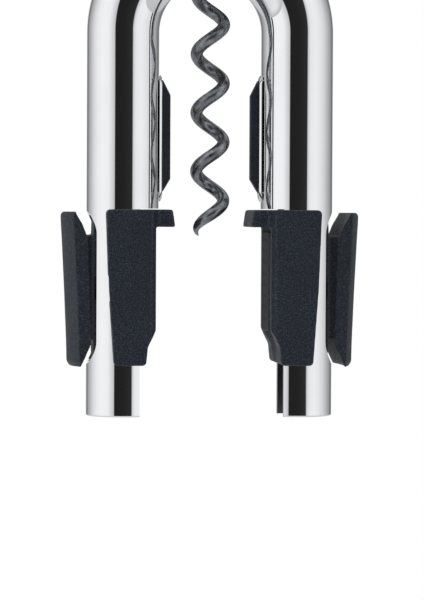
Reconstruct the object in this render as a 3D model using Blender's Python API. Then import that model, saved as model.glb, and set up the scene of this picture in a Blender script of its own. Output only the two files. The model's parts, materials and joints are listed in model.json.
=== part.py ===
"""Lever corkscrew, modelled in metres with +Z up.

The origin is on the axis of the worm and of the bottle neck, level with the lower ends of the two legs.
+X points to the right leg, and -Y to the front, where the lever ends when the worm is down.
"""

import math

import bmesh
import bpy
from mathutils import Matrix, Vector

MM = 0.001

# Clearances
GAP = 0.3 * MM
SLIDE_GAP = 0.35 * MM

# Frame tube: one round tube bent into an upside-down U
TUBE_RADIUS = 8.75 * MM
TUBE_WALL = 1.6 * MM
LEG_OFFSET = 21.25 * MM
LEG_HEIGHT = 93.0 * MM
TUBE_SIDES = 24
ARCH_STEPS = 12

# Bottle neck that the tool is made for
NECK_RADIUS = 14.5 * MM
NECK_GAP = 0.6 * MM

# Jaws that ride on the lower legs
JAW_BOTTOM = 12.6 * MM
JAW_TOP = 50.1 * MM
JAW_HALF_DEPTH = 13.0 * MM
JAW_INNER = 13.9 * MM
JAW_OUTER_TOP = 26.0 * MM
JAW_OUTER_BOTTOM = 24.0 * MM
HOOK_UNDERSIDE = 45.9 * MM
HOOK_INNER_TOP = 9.8 * MM
HOOK_INNER_LOW = 9.2 * MM
HOOK_HALF_DEPTH = 10.3 * MM
JAW_TRAVEL = 1.7 * MM
LEG_CUT = 17.5 * MM

# Slot in each leg's outer side, and the stem that passes through it
STEM_SIDE_GAP = 0.75 * MM
SLOT_LOW = JAW_BOTTOM - 0.2 * MM
SLOT_HIGH = JAW_TOP - 0.3 * MM
STEM_HALF_WIDTH = 5.0 * MM
STEM_LOW = 18.5 * MM
STEM_HIGH = 43.9 * MM
SLOT_HALF_WIDTH = STEM_HALF_WIDTH + STEM_SIDE_GAP

# Squeeze grips
GRIP_LOW = JAW_BOTTOM - 0.4 * MM
GRIP_HIGH = JAW_TOP - 0.6 * MM
GRIP_HALF_DEPTH = 11.0 * MM
GRIP_CROWN = 2.5 * MM
GRIP_THICK_TOP = 4.3 * MM
GRIP_THICK_LOW = 2.75 * MM
GRIP_WRAP = 2.3 * MM

# Neck liners
LINER_THICK = 1.2 * MM
LINER_LOW = 20.5 * MM
RIM_ROOM = 2.3 * MM
LINER_HALF_ANGLE = math.radians(25)

# Fasteners and springs of the jaws
SCREW_RADIUS = 1.3 * MM
SCREW_HEAD_RADIUS = 2.6 * MM
SCREW_HEIGHTS = (22.5 * MM, 39.5 * MM)
SCREW_BITE = 2.1 * MM
PIN_RADIUS = 1.5 * MM
PIN_OFFSET = 20.2 * MM
PIN_HEIGHT = 31.0 * MM
SPRING_RADIUS = 2.2 * MM
SPRING_WIRE = 0.35 * MM
SPRING_LENGTH = 5.7 * MM

# Cork pads on the inner sides of the legs
PAD_LOW = 54.4 * MM
PAD_HIGH = 81.5 * MM
PAD_LAND_LOW = 57.5 * MM
PAD_LAND_HIGH = 77.8 * MM
PAD_PROUD = 2.75 * MM
PAD_BASE_PROUD = 0.9 * MM
PAD_HALF_WIDTH = 1.4 * MM
PAD_LAND_HALF_WIDTH = 1.1 * MM
BEZEL_LOW = 51.5 * MM
BEZEL_HIGH = 83.2 * MM
BEZEL_HALF_WIDTH = 2.5 * MM
BEZEL_PROUD = 0.7 * MM
PLUG_HALF_WIDTH = 0.8 * MM

# Worm: a right-handed open helix of round wire
WORM_RADIUS = 3.3 * MM
WORM_WIRE = 1.5 * MM
WORM_PITCH = 14.25 * MM
WORM_TIP = 43.8 * MM
WORM_PHASE_HEIGHT = 52.5 * MM
WORM_STEPS_PER_TURN = 12
WORM_SIDES = 8
WORM_NECK = 9.5 * MM
SHANK_RADIUS = 2.5 * MM
COLLAR_RADIUS = 4.2 * MM

# Rack and gear
MODULE = 2.0 * MM
GEAR_TEETH = 18
PRESSURE_ANGLE = math.radians(20)
BACKLASH = 0.3 * MM
LEVER_SWING = math.radians(160)
GEAR_HALF_WIDTH = 3.2 * MM
RACK_HALF_WIDTH = 3.5 * MM
RACK_BACKING = 3.2 * MM
RACK_CLEAR = 0.55 * MM
RACK_PIN_RADIUS = 0.9 * MM

# Lever
LEVER_REST = math.radians(28)
LEVER_KINK = math.radians(20)
PIVOT_RISE = 12.0 * MM
ARM_LENGTH = 81.5 * MM
ARM_THICK = 3.5 * MM
ARM_HALF_HEIGHT = 5.0 * MM
HUB_RADIUS = 9.0 * MM
BRIDGE = 7.0 * MM
TANG_LENGTH = 42.0 * MM
TANG_HALF_WIDTH = 4.5 * MM
TANG_HALF_HEIGHT = 3.0 * MM
HANDLE_LENGTH = 96.0 * MM
HANDLE_HALF_WIDTH = 12.5 * MM
HANDLE_HALF_HEIGHT = 8.5 * MM
SHAFT_RADIUS = 4.0 * MM
BUSH_WALL = 1.5 * MM

# Head
HEAD_HALF_WIDTH = 13.0 * MM
HEAD_FRONT = -11.5 * MM
HEAD_SKIRT = 19.0 * MM
HEAD_WALL = 2.3 * MM
HEAD_TOP_WALL = 5.0 * MM
CHAMBER_HALF_WIDTH = 10.7 * MM
CHAMBER_FRONT = -8.2 * MM
SHELF = 1.7 * MM
HEAD_SCREW_RADIUS = 1.5 * MM
HEAD_SCREW_HEAD = 2.8 * MM
BUTTON_HALF = 2.0 * MM

# Guide nut in the crown
NUT_RADIUS = 6.0 * MM
NUT_BORE_SIDE_GAP = 0.4 * MM
RATCHET_RADIUS = 8.6 * MM
RATCHET_DEPTH = 1.2 * MM
RATCHET_TEETH = 12
RATCHET_THICK = 3.0 * MM
RATCHET_PHASE = math.radians(-97)
PAWL_REACH = 2.0 * MM
PAWL_ANGLE = math.radians(-30)
PAWL_HUB = 1.5 * MM
PAWL_PIN = 0.8 * MM

# Carriage that carries the worm
CARRIAGE_HALF_WIDTH = 8.5 * MM
CARRIAGE_FRONT = -7.5 * MM
CARRIAGE_HEIGHT = 13.5 * MM
SHOE_THICK = 1.6 * MM

# Sizes that follow from those above
SIDES = (("left", -1), ("right", 1))
TUBE_BORE = TUBE_RADIUS - TUBE_WALL
CROWN_HEIGHT = LEG_HEIGHT + LEG_OFFSET
CROWN_TOP = CROWN_HEIGHT + TUBE_RADIUS
PIVOT_HEIGHT = CROWN_TOP + PIVOT_RISE
HEAD_BOTTOM = CROWN_TOP - HEAD_SKIRT
TUBE_OUTER = LEG_OFFSET + TUBE_RADIUS
TUBE_INNER = LEG_OFFSET - TUBE_RADIUS
GEAR_RADIUS = MODULE * GEAR_TEETH / 2
TOOTH_PITCH = math.pi * MODULE
STROKE = GEAR_RADIUS * LEVER_SWING
RACK_FRONT = TUBE_RADIUS + RACK_CLEAR
RACK_ROOT = RACK_FRONT + RACK_BACKING
RACK_PITCH_LINE = RACK_ROOT + 1.25 * MODULE
PIVOT_DEPTH = RACK_PITCH_LINE + GEAR_RADIUS
CHAMBER_BACK = RACK_PITCH_LINE + MODULE + 0.8 * MM
GEAR_CHAMBER_RADIUS = GEAR_RADIUS + MODULE + 1.0 * MM
BULGE_RADIUS = GEAR_CHAMBER_RADIUS + HEAD_WALL + 1.0 * MM
RATCHET_LOW = CROWN_TOP + 2.2 * MM
RATCHET_HIGH = RATCHET_LOW + RATCHET_THICK
SHELF_LOW = RATCHET_HIGH + 0.5 * MM
SHELF_HIGH = SHELF_LOW + SHELF
CARRIAGE_LOW = SHELF_HIGH + GAP + STROKE
CARRIAGE_HIGH = CARRIAGE_LOW + CARRIAGE_HEIGHT
CHAMBER_TOP = CARRIAGE_HIGH + 4.7 * MM
HEAD_TOP = CHAMBER_TOP + HEAD_TOP_WALL
SLOT_FILL_HALF_WIDTH = SLOT_HALF_WIDTH - GAP
LINER_INNER = NECK_RADIUS + NECK_GAP
LINER_HIGH = HOOK_UNDERSIDE - RIM_ROOM
RECESS_RADIUS = LINER_INNER + LINER_THICK + GAP
CHANNEL_HALF_WIDTH = TUBE_RADIUS + SLIDE_GAP
ARM_INNER = HEAD_HALF_WIDTH + 0.9 * MM
ARM_OUTER = ARM_INNER + ARM_THICK
CROWN_HOLE = NUT_RADIUS + 2 * GAP
BUTTON_HEIGHT = (RATCHET_LOW + RATCHET_HIGH) / 2
PAWL_RADIUS = RATCHET_RADIUS + PAWL_REACH
PAWL_AXIS = (PAWL_RADIUS * math.cos(PAWL_ANGLE), PAWL_RADIUS * math.sin(PAWL_ANGLE))
STANDOFF = JAW_TRAVEL + GAP
GRIP_INNER = TUBE_OUTER + STANDOFF
STEM_END = GRIP_INNER - 0.8 * MM


# ---------------------------------------------------------------- scene and materials


def clear_scene():
    for obj in list(bpy.data.objects):
        bpy.data.objects.remove(obj, do_unlink=True)


def make_material(name, colour, roughness, metallic):
    material = bpy.data.materials.new(name)
    material.use_nodes = True
    shader = material.node_tree.nodes["Principled BSDF"]
    shader.inputs["Base Color"].default_value = (*colour, 1.0)
    shader.inputs["Roughness"].default_value = roughness
    shader.inputs["Metallic"].default_value = metallic
    material.diffuse_color = (*colour, 1.0)
    return material


def make_empty(name, location, turn=0.0):
    empty = bpy.data.objects.new(name, None)
    empty.matrix_world = Matrix.Translation(location) @ Matrix.Rotation(turn, 4, "X")
    empty.empty_display_size = 0.01
    bpy.context.scene.collection.objects.link(empty)
    return empty


# ---------------------------------------------------------------- outlines


def arc(centre, radius, start, end, steps):
    """Points on a circle from angle start to angle end, in degrees."""
    angles = [math.radians(start + (end - start) * i / steps) for i in range(steps + 1)]
    return [(centre[0] + radius * math.cos(a), centre[1] + radius * math.sin(a)) for a in angles]


def polar(radius, angle):
    return (radius * math.cos(angle), radius * math.sin(angle))


def rounded(corners, steps=3):
    """An outline from corners (u, v, radius), each rounded by an arc of that radius."""
    points = []
    count = len(corners)
    for i, (u, v, radius) in enumerate(corners):
        here = Vector((u, v))
        if radius == 0:
            points.append((u, v))
            continue
        back = (Vector(corners[i - 1][:2]) - here).normalized()
        ahead = (Vector(corners[(i + 1) % count][:2]) - here).normalized()
        half = back.angle(ahead) / 2
        middle = here + (back + ahead).normalized() * radius / math.sin(half)
        first = here + back * radius / math.tan(half) - middle
        last = here + ahead * radius / math.tan(half) - middle
        turn = first.angle_signed(last)
        for step in range(steps + 1):
            points.append(tuple(middle + Matrix.Rotation(-turn * step / steps, 2) @ first))
    return points


def obround(half_width, low, high, steps=8):
    """An upright slot with half-round ends."""
    top = arc((0, high - half_width), half_width, 0, 180, steps)
    bottom = arc((0, low + half_width), half_width, 180, 360, steps)
    return top + bottom


def mirrored(points, side):
    """The outline with its first coordinate on the given side, -1 or 1."""
    return [(side * u, v) for u, v in points]


# ---------------------------------------------------------------- solids


def add_object(name, bm, material, parent=None, sharp=30.0, smooth=False):
    bmesh.ops.recalc_face_normals(bm, faces=bm.faces)
    mesh = bpy.data.meshes.new(name)
    bm.to_mesh(mesh)
    bm.free()
    if smooth:
        mesh.shade_smooth()
        mesh.set_sharp_from_angle(angle=math.radians(sharp))
    obj = bpy.data.objects.new(name, mesh)
    if material is not None:
        mesh.materials.append(material)
    bpy.context.scene.collection.objects.link(obj)
    if parent is not None:
        obj.parent = parent
    return obj


def attach(obj, empty):
    """Parents an object made in world coordinates to an empty, and leaves it where it is."""
    obj.parent = empty
    obj.matrix_parent_inverse = empty.matrix_world.inverted()
    return obj


def along(axis, u, v, w):
    """A point from its two outline coordinates and its place along the axis."""
    return {"X": (w, u, v), "Y": (u, w, v), "Z": (u, v, w)}[axis]


def prism(name, outline, axis, low, high, material=None, **options):
    bm = bmesh.new()
    bottom = [bm.verts.new(along(axis, u, v, low)) for u, v in outline]
    top = [bm.verts.new(along(axis, u, v, high)) for u, v in outline]
    bm.faces.new(bottom)
    bm.faces.new(reversed(top))
    for i in range(len(outline)):
        j = (i + 1) % len(outline)
        bm.faces.new((bottom[i], bottom[j], top[j], top[i]))
    return add_object(name, bm, material, **options)


def box(name, low, high, material=None, **options):
    outline = [(low[0], low[1]), (high[0], low[1]), (high[0], high[1]), (low[0], high[1])]
    return prism(name, outline, "Z", low[2], high[2], material, **options)


def loft(name, rings, material=None, closed=False, **options):
    """Skins rings of points. Ends are capped, unless closed joins the last ring to the first."""
    bm = bmesh.new()
    rows = [[bm.verts.new(point) for point in ring] for ring in rings]
    pairs = list(zip(rows, rows[1:]))
    if closed:
        pairs.append((rows[-1], rows[0]))
    else:
        bm.faces.new(rows[0])
        bm.faces.new(rows[-1])
    for first, second in pairs:
        for i in range(len(first)):
            j = (i + 1) % len(first)
            bm.faces.new((first[i], first[j], second[j], second[i]))
    return add_object(name, bm, material, **options)


def turned(name, profile, centre, axis, sides, material=None, closed=False, **options):
    """A round solid about an axis. The profile lists (radius, place along the axis)."""
    rings = []
    for radius, place in profile:
        ring = [polar(radius, 2 * math.pi * i / sides) for i in range(sides)]
        rings.append([Vector(along(axis, u, v, place)) + Vector(centre) for u, v in ring])
    return loft(name, rings, material, closed, smooth=True, **options)


def rod(name, radius, low, high, centre, axis, sides, material=None, **options):
    return turned(name, [(radius, low), (radius, high)], centre, axis, sides, material, **options)


def ring_solid(name, inner, outer, low, high, centre, axis, sides, material=None, **options):
    profile = [(inner, low), (outer, low), (outer, high), (inner, high)]
    return turned(name, profile, centre, axis, sides, material, closed=True, **options)


def sweep(name, path, radii, sides, material=None, **options):
    """A round bar along a path, with one radius for each of its points."""
    path = [Vector(point) for point in path]
    ends = [path[0]] + path + [path[-1]]
    side = None
    rings = []
    for i, point in enumerate(path):
        tangent = (ends[i + 2] - ends[i]).normalized()
        if side is None:
            side = tangent.orthogonal().normalized()
        side = (side - tangent * side.dot(tangent)).normalized()
        other = tangent.cross(side)
        turns = [2 * math.pi * k / sides for k in range(sides)]
        offsets = [side * math.cos(t) + other * math.sin(t) for t in turns]
        rings.append([point + offset * radii[i] for offset in offsets])
    return loft(name, rings, material, smooth=True, sharp=50.0, **options)


def coil(name, start, end, coil_radius, wire, turns, material, steps=8, sides=4, **options):
    """A compression spring whose wire lies between its two ends."""
    start = Vector(start)
    axis = Vector(end) - start
    length = axis.length
    axis.normalize()
    side = axis.orthogonal().normalized()
    other = axis.cross(side)
    count = int(turns * steps)
    path = []
    for i in range(count + 1):
        turn = 2 * math.pi * i / steps
        rise = wire + (length - 2 * wire) * i / count
        path.append(start + axis * rise + (side * math.cos(turn) + other * math.sin(turn)) * coil_radius)
    return sweep(name, path, [wire] * len(path), sides, material, **options)


def combine(target, others, operation):
    for other in others:
        modifier = target.modifiers.new(other.name, "BOOLEAN")
        modifier.operation = operation
        modifier.solver = "EXACT"
        modifier.object = other
        other.hide_render = True
        other.display_type = "WIRE"
        other.parent = target.parent
        other.matrix_parent_inverse = target.matrix_parent_inverse
    return target


def cut(target, *others):
    return combine(target, others, "DIFFERENCE")


def join(target, *others):
    return combine(target, others, "UNION")


def keep_common(target, *others):
    return combine(target, others, "INTERSECT")


# ---------------------------------------------------------------- frame


def frame_path(extra):
    """The centreline of the tube, from below the left leg over the crown to below the right leg."""
    arch = arc((0, LEG_HEIGHT), LEG_OFFSET, 180, 0, ARCH_STEPS)
    flat = [(-LEG_OFFSET, -extra)] + arch + [(LEG_OFFSET, -extra)]
    return [(x, 0, z) for x, z in flat]


def frame_rings(radius, extra):
    rings = []
    path = [Vector(point) for point in frame_path(extra)]
    for i, point in enumerate(path):
        if i in (0, len(path) - 1):
            outward = Vector((math.copysign(1, point.x), 0, 0))
        else:
            outward = (point - Vector((0, 0, LEG_HEIGHT))).normalized()
        turns = [2 * math.pi * k / TUBE_SIDES for k in range(TUBE_SIDES)]
        offsets = [outward * math.cos(t) + Vector((0, math.sin(t), 0)) for t in turns]
        rings.append([point + offset * radius for offset in offsets])
    return rings


def tube_cutter(name, radius, extra=1 * MM):
    return loft(name, frame_rings(radius, extra))


def make_frame(chrome):
    tube = loft("frame_tube", frame_rings(TUBE_RADIUS, 0), chrome, smooth=True)
    cut(tube, tube_cutter("cut_tube_bore", TUBE_BORE))
    reach = TUBE_OUTER + 5 * MM
    depth = TUBE_RADIUS + 2 * MM
    opening_top = JAW_TOP + 0.5 * MM
    low, high = (-LEG_CUT, -depth, -2 * MM), (LEG_CUT, depth, opening_top)
    cut(tube, box("cut_leg_openings", low, high))
    slot = obround(SLOT_HALF_WIDTH, SLOT_LOW, SLOT_HIGH)
    cut(tube, prism("cut_stem_slots", slot, "X", -reach, reach))
    low, high = CROWN_HEIGHT - 2 * TUBE_RADIUS, CROWN_HEIGHT + 2 * TUBE_RADIUS
    cut(tube, rod("cut_crown_hole", CROWN_HOLE, low, high, (0, 0, 0), "Z", 24))
    for side, sign in SIDES:
        centre = (sign * PIN_OFFSET, 0, PIN_HEIGHT)
        cut(tube, rod(f"cut_pin_{side}", PIN_RADIUS + GAP, -depth, depth, centre, "Y", 12))
        window = obround(PLUG_HALF_WIDTH + GAP, PAD_LAND_LOW - GAP, PAD_LAND_HIGH + GAP, 4)
        ends = sorted((sign * (TUBE_INNER - 2 * MM), sign * LEG_OFFSET))
        cut(tube, prism(f"cut_pad_{side}", window, "X", *ends))


def pad_section(x, half_width, low, high):
    """The six-sided outline of a cork pad at one depth."""
    taper = half_width
    outline = [(0, low), (half_width, low + taper), (half_width, high - taper)]
    outline += [(0, high), (-half_width, high - taper), (-half_width, low + taper)]
    return [(x, y, z) for y, z in outline]


def make_cork_pads(side, sign, chrome, rubber):
    face = TUBE_INNER - PAD_PROUD
    base = TUBE_INNER - BEZEL_PROUD
    seat = TUBE_RADIUS + GAP
    leg = (sign * LEG_OFFSET, 0, 0)
    ends = sorted((sign * base, sign * (TUBE_INNER + 3 * MM)))
    outline = obround(BEZEL_HALF_WIDTH, BEZEL_LOW, BEZEL_HIGH, 6)
    bezel = prism(f"pad_bezel_{side}", outline, "X", *ends, chrome)
    cut(bezel, rod(f"cut_bezel_seat_{side}", seat, 0, LEG_HEIGHT, leg, "Z", TUBE_SIDES))
    hole = [(y, z) for _, y, z in pad_section(0, PAD_HALF_WIDTH + GAP, PAD_LOW - GAP, PAD_HIGH + GAP)]
    reach = sorted((sign * (base - 2 * MM), sign * LEG_OFFSET))
    cut(bezel, prism(f"cut_bezel_hole_{side}", hole, "X", *reach))

    back = TUBE_INNER + 1.6 * MM
    rings = [
        pad_section(sign * back, PAD_HALF_WIDTH, PAD_LOW, PAD_HIGH),
        pad_section(sign * (TUBE_INNER - PAD_BASE_PROUD), PAD_HALF_WIDTH, PAD_LOW, PAD_HIGH),
        pad_section(sign * face, PAD_LAND_HALF_WIDTH, PAD_LAND_LOW, PAD_LAND_HIGH),
    ]
    pad = loft(f"cork_pad_{side}", rings, rubber)
    cut(pad, rod(f"cut_pad_seat_{side}", seat, 0, LEG_HEIGHT, leg, "Z", TUBE_SIDES))
    ends = sorted((sign * (TUBE_INNER - 1.4 * MM), sign * (TUBE_INNER + TUBE_WALL + 0.5 * MM)))
    plug = obround(PLUG_HALF_WIDTH, PAD_LAND_LOW, PAD_LAND_HIGH, 4)
    join(pad, prism(f"join_pad_plug_{side}", plug, "X", *ends))


# ---------------------------------------------------------------- jaws and grips


def jaw_profile():
    """Front view of a right jaw: x and z."""
    top = JAW_TOP
    low = JAW_BOTTOM
    inner = JAW_INNER
    edge = 1.2 * MM
    return rounded([
        (HOOK_INNER_TOP, top, 0.6 * MM),
        (HOOK_INNER_LOW, HOOK_UNDERSIDE, 0),
        (HOOK_INNER_LOW, low + 14 * MM, 0),
        (inner, low + 8.4 * MM, 2 * MM),
        (inner + 2.0 * MM, low + 4.5 * MM, 2 * MM),
        (inner + 2.4 * MM, low, edge),
        (JAW_OUTER_BOTTOM, low, edge),
        ((JAW_OUTER_TOP + JAW_OUTER_BOTTOM) / 2 + 0.3 * MM, (low + top) / 2, 0),
        (JAW_OUTER_TOP, top, edge),
    ])


def jaw_plan():
    """Plan of a right jaw, with its stem: x and y. Its hook is less deep than its wings."""
    depth = JAW_HALF_DEPTH
    inner = HOOK_INNER_LOW - 1 * MM
    reach = STEM_END + 1 * MM
    step = JAW_INNER + 0.9 * MM
    half = [(inner, HOOK_HALF_DEPTH), (JAW_INNER - 0.6 * MM, HOOK_HALF_DEPTH), (step, depth), (reach, depth)]
    return half + [(x, -y) for x, y in reversed(half)]


def make_jaw(side, sign, plastic, parent):
    depth = JAW_HALF_DEPTH
    jaw = prism(f"jaw_{side}", mirrored(jaw_profile(), sign), "Y", -depth, depth, plastic)
    reach = TUBE_OUTER
    ends = sorted((sign * (LEG_CUT - GAP), sign * reach))
    low, high = (ends[0], -CHANNEL_HALF_WIDTH, -1 * MM), (ends[1], CHANNEL_HALF_WIDTH, LEG_HEIGHT)
    cut(jaw, box(f"cut_jaw_channel_{side}", low, high))
    ends = sorted((sign * (LEG_CUT - 2 * MM), sign * (TUBE_OUTER - 1.4 * MM)))
    filler = obround(SLOT_FILL_HALF_WIDTH, SLOT_LOW + GAP, SLOT_HIGH - GAP)
    join(jaw, prism(f"join_slot_filler_{side}", filler, "X", *ends))
    ends = sorted((sign * (TUBE_OUTER - 3 * MM), sign * STEM_END))
    low, high = (ends[0], -STEM_HALF_WIDTH, STEM_LOW), (ends[1], STEM_HALF_WIDTH, STEM_HIGH)
    join(jaw, box(f"join_stem_{side}", low, high))

    half = math.degrees(math.acos(JAW_INNER / RECESS_RADIUS))
    past = depth + 5 * MM
    recess = [(-1 * MM, -past), (JAW_INNER, -past)]
    recess += arc((0, 0), RECESS_RADIUS, -half, half, 10)
    recess += [(JAW_INNER, past), (-1 * MM, past)]
    cut(jaw, prism(f"cut_neck_recess_{side}", mirrored(recess, sign), "Z", -1 * MM, HOOK_UNDERSIDE))
    plan = prism(f"keep_jaw_plan_{side}", mirrored(jaw_plan(), sign), "Z", 0, JAW_TOP + 2 * MM)
    keep_common(jaw, plan)

    spring_room = SPRING_RADIUS + SPRING_WIRE + GAP
    low_x = PIN_OFFSET - PIN_RADIUS - GAP
    high_x = PIN_OFFSET + PIN_RADIUS + GAP + SPRING_LENGTH + GAP
    ends = sorted((sign * low_x, sign * high_x))
    low = (ends[0], -2 * SLOT_HALF_WIDTH, PIN_HEIGHT - spring_room)
    high = (ends[1], 2 * SLOT_HALF_WIDTH, PIN_HEIGHT + spring_room)
    cut(jaw, box(f"cut_spring_room_{side}", low, high))
    for i, height in enumerate(SCREW_HEIGHTS, 1):
        centre = (0, 0, height)
        bore = sorted((sign * (JAW_INNER - 1 * MM), sign * (STEM_END + 1 * MM)))
        seat = sorted((sign * (JAW_INNER - 1 * MM), sign * (RECESS_RADIUS + 2.1 * MM)))
        cut(jaw, rod(f"cut_bore_{side}_{i}", SCREW_RADIUS + GAP, *bore, centre, "X", 12))
        cut(jaw, rod(f"cut_head_{side}_{i}", SCREW_HEAD_RADIUS + GAP, *seat, centre, "X", 16))
    attach_all([jaw], parent)


def attach_all(objects, empty):
    """Attaches objects to an empty, along with the shapes that their Booleans use."""
    for obj in objects:
        attach(obj, empty)
        for modifier in obj.modifiers:
            if modifier.type == "BOOLEAN":
                attach(modifier.object, empty)


def make_liner(side, sign, rubber, parent):
    half = math.degrees(LINER_HALF_ANGLE)
    outline = arc((0, 0), LINER_INNER, -half, half, 8)
    outline += arc((0, 0), LINER_INNER + LINER_THICK, half, -half, 8)
    name = f"neck_liner_{side}"
    liner = prism(name, mirrored(outline, sign), "Z", LINER_LOW, LINER_HIGH, rubber, smooth=True)
    attach_all([liner], parent)


def grip_levels():
    """For each height: height, outer apex, inner face at the middle and inner face at the edges."""
    span = GRIP_HIGH - GRIP_LOW
    top_outer = GRIP_INNER + GRIP_THICK_TOP
    low_outer = GRIP_INNER + GRIP_THICK_LOW
    edge_top = GRIP_INNER - GRIP_WRAP + 0.5 * MM
    edge_low = GRIP_INNER - GRIP_WRAP - 0.4 * MM
    rows = [
        (0.0, low_outer - 0.7 * MM, GRIP_INNER + 0.6 * MM, GRIP_INNER - 0.1 * MM),
        (0.03, low_outer, GRIP_INNER + 0.3 * MM, GRIP_INNER - 0.7 * MM),
        (0.15, low_outer + 0.1 * MM, GRIP_INNER, edge_low),
        (0.48, low_outer + 0.6 * MM, GRIP_INNER, (edge_low + edge_top) / 2),
        (0.83, top_outer - 0.3 * MM, GRIP_INNER, edge_top),
        (0.92, top_outer - 0.1 * MM, GRIP_INNER + 0.5 * MM, GRIP_INNER - 0.5 * MM),
        (0.98, top_outer, GRIP_INNER + 1.1 * MM, GRIP_INNER + 0.9 * MM),
        (1.0, top_outer - 0.5 * MM, GRIP_INNER + 1.3 * MM, GRIP_INNER + 1.2 * MM),
    ]
    return [(GRIP_LOW + span * share, *row) for share, *row in rows]


def grip_ring(height, apex, middle, edge, sign):
    steps = 8
    shares = [-1 + 2 * i / steps for i in range(steps + 1)]
    outer = []
    inner = []
    for share in shares:
        y = GRIP_HALF_DEPTH * share
        x_inner = middle - (middle - edge) * share**2
        x_outer = max(apex - GRIP_CROWN * share**2, x_inner + 0.4 * MM)
        outer.append((sign * x_outer, y, height))
        inner.append((sign * x_inner, y, height))
    return outer + inner[::-1]


def make_grip(side, sign, plastic, parent):
    rings = [grip_ring(*level, sign) for level in grip_levels()]
    grip = loft(f"grip_{side}", rings, plastic)
    ends = sorted((sign * (GRIP_INNER - 3 * MM), sign * (GRIP_INNER + SCREW_BITE + GAP)))
    for i, height in enumerate(SCREW_HEIGHTS, 1):
        bore = rod(f"cut_grip_bore_{side}_{i}", SCREW_RADIUS + GAP, *ends, (0, 0, height), "X", 12)
        cut(grip, bore)
    attach_all([grip], parent)


def screw(name, centre, axis, head_end, tip_end, radius, head_radius, head_depth, material):
    """A round-headed screw with a cross-wise slot. It runs along the axis from head_end to tip_end."""
    sign = 1 if tip_end > head_end else -1
    neck = head_end + sign * head_depth
    profile = [(head_radius, head_end), (head_radius, neck), (radius, neck), (radius, tip_end)]
    body = turned(name, profile, centre, axis, 12, material)
    slot = 0.35 * MM
    deep = head_depth * 0.5
    ends = sorted((head_end - sign * 1 * MM, head_end + sign * deep))
    wide = head_radius * 1.5
    outline = [(-slot, -wide), (slot, -wide), (slot, wide), (-slot, wide)]
    if axis == "X":
        outline = [(centre[1] + u, centre[2] + v) for u, v in outline]
    elif axis == "Y":
        outline = [(centre[0] + u, centre[2] + v) for u, v in outline]
    cut(body, prism(f"cut_slot_{name}", outline, axis, *ends))
    return body


def make_jaw_side(side, sign, plastic, rubber, steel):
    parent = make_empty(f"slide_{side}", (sign * LEG_OFFSET, 0, PIN_HEIGHT))
    make_jaw(side, sign, plastic, parent)
    make_liner(side, sign, rubber, parent)
    make_grip(side, sign, plastic, parent)
    for i, height in enumerate(SCREW_HEIGHTS, 1):
        head = sign * (RECESS_RADIUS + 0.1 * MM)
        tip = sign * (GRIP_INNER + SCREW_BITE)
        centre = (0, 0, height)
        name = f"grip_screw_{side}_{i}"
        part = screw(name, centre, "X", head, tip, SCREW_RADIUS, SCREW_HEAD_RADIUS, 1.7 * MM, steel)
        attach_all([part], parent)
    centre = (sign * PIN_OFFSET, 0, PIN_HEIGHT)
    half = TUBE_RADIUS - 0.2 * MM
    rod(f"guide_pin_{side}", PIN_RADIUS, -half, half, centre, "Y", 12, steel)
    start = sign * (PIN_OFFSET + PIN_RADIUS + GAP)
    end = start + sign * SPRING_LENGTH
    ends = ((start, 0, PIN_HEIGHT), (end, 0, PIN_HEIGHT))
    coil(f"jaw_spring_{side}", *ends, SPRING_RADIUS, SPRING_WIRE, 4, steel)


# ---------------------------------------------------------------- worm and carriage


def worm_point(height, radius=WORM_RADIUS):
    turn = 2 * math.pi * (height - WORM_PHASE_HEIGHT) / WORM_PITCH
    return Vector((radius * math.cos(turn), radius * math.sin(turn), height))


def worm_shape():
    """Path points and wire radii, from the sharp tip to the top of the shank."""
    step = WORM_PITCH / WORM_STEPS_PER_TURN
    count = int((CARRIAGE_LOW - WORM_NECK - WORM_TIP) / step)
    path = []
    radii = []
    for i in range(count + 1):
        height = WORM_TIP + step * i
        path.append(worm_point(height))
        sharpness = min(1, (height - WORM_TIP) / (WORM_PITCH * 0.42))
        radii.append(0.12 * MM + (WORM_WIRE - 0.12 * MM) * sharpness)
    for i in range(1, 5):
        share = i / 4
        inward = WORM_RADIUS * (1 + math.cos(math.pi * share)) / 2
        path.append(worm_point(WORM_TIP + step * (count + i), inward))
        radii.append(WORM_WIRE)
    low = CARRIAGE_LOW - 4.2 * MM
    high = CARRIAGE_HIGH
    for height, radius in (
        (low, SHANK_RADIUS),
        (low + 0.6 * MM, SHANK_RADIUS),
        (low + 0.7 * MM, COLLAR_RADIUS),
        (low + 2.1 * MM, COLLAR_RADIUS),
        (low + 2.2 * MM, SHANK_RADIUS),
        (high + 0.8 * MM, SHANK_RADIUS),
        (high + 0.9 * MM, SHANK_RADIUS - 0.7 * MM),
        (high + 2.2 * MM, SHANK_RADIUS - 0.7 * MM),
        (high + 2.3 * MM, SHANK_RADIUS),
        (high + 3.6 * MM, SHANK_RADIUS),
    ):
        path.append(Vector((0, 0, height)))
        radii.append(radius)
    return path, radii


def make_worm(coated, steel):
    parent = make_empty("spin_worm", (0, 0, CARRIAGE_LOW))
    path, radii = worm_shape()
    worm = sweep("worm", path, radii, WORM_SIDES, coated)
    inner = SHANK_RADIUS + GAP
    low = CARRIAGE_LOW - 1.6 * MM
    place = (0, 0, 0)
    washer = ring_solid("thrust_washer", inner, COLLAR_RADIUS, low, CARRIAGE_LOW - GAP, place, "Z", 20, steel)
    low = CARRIAGE_HIGH + 1.2 * MM
    inner = SHANK_RADIUS - 0.4 * MM
    clip = ring_solid("worm_clip", inner, COLLAR_RADIUS, low, low + 0.7 * MM, place, "Z", 20, steel)
    attach_all([worm, washer, clip], parent)


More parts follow.
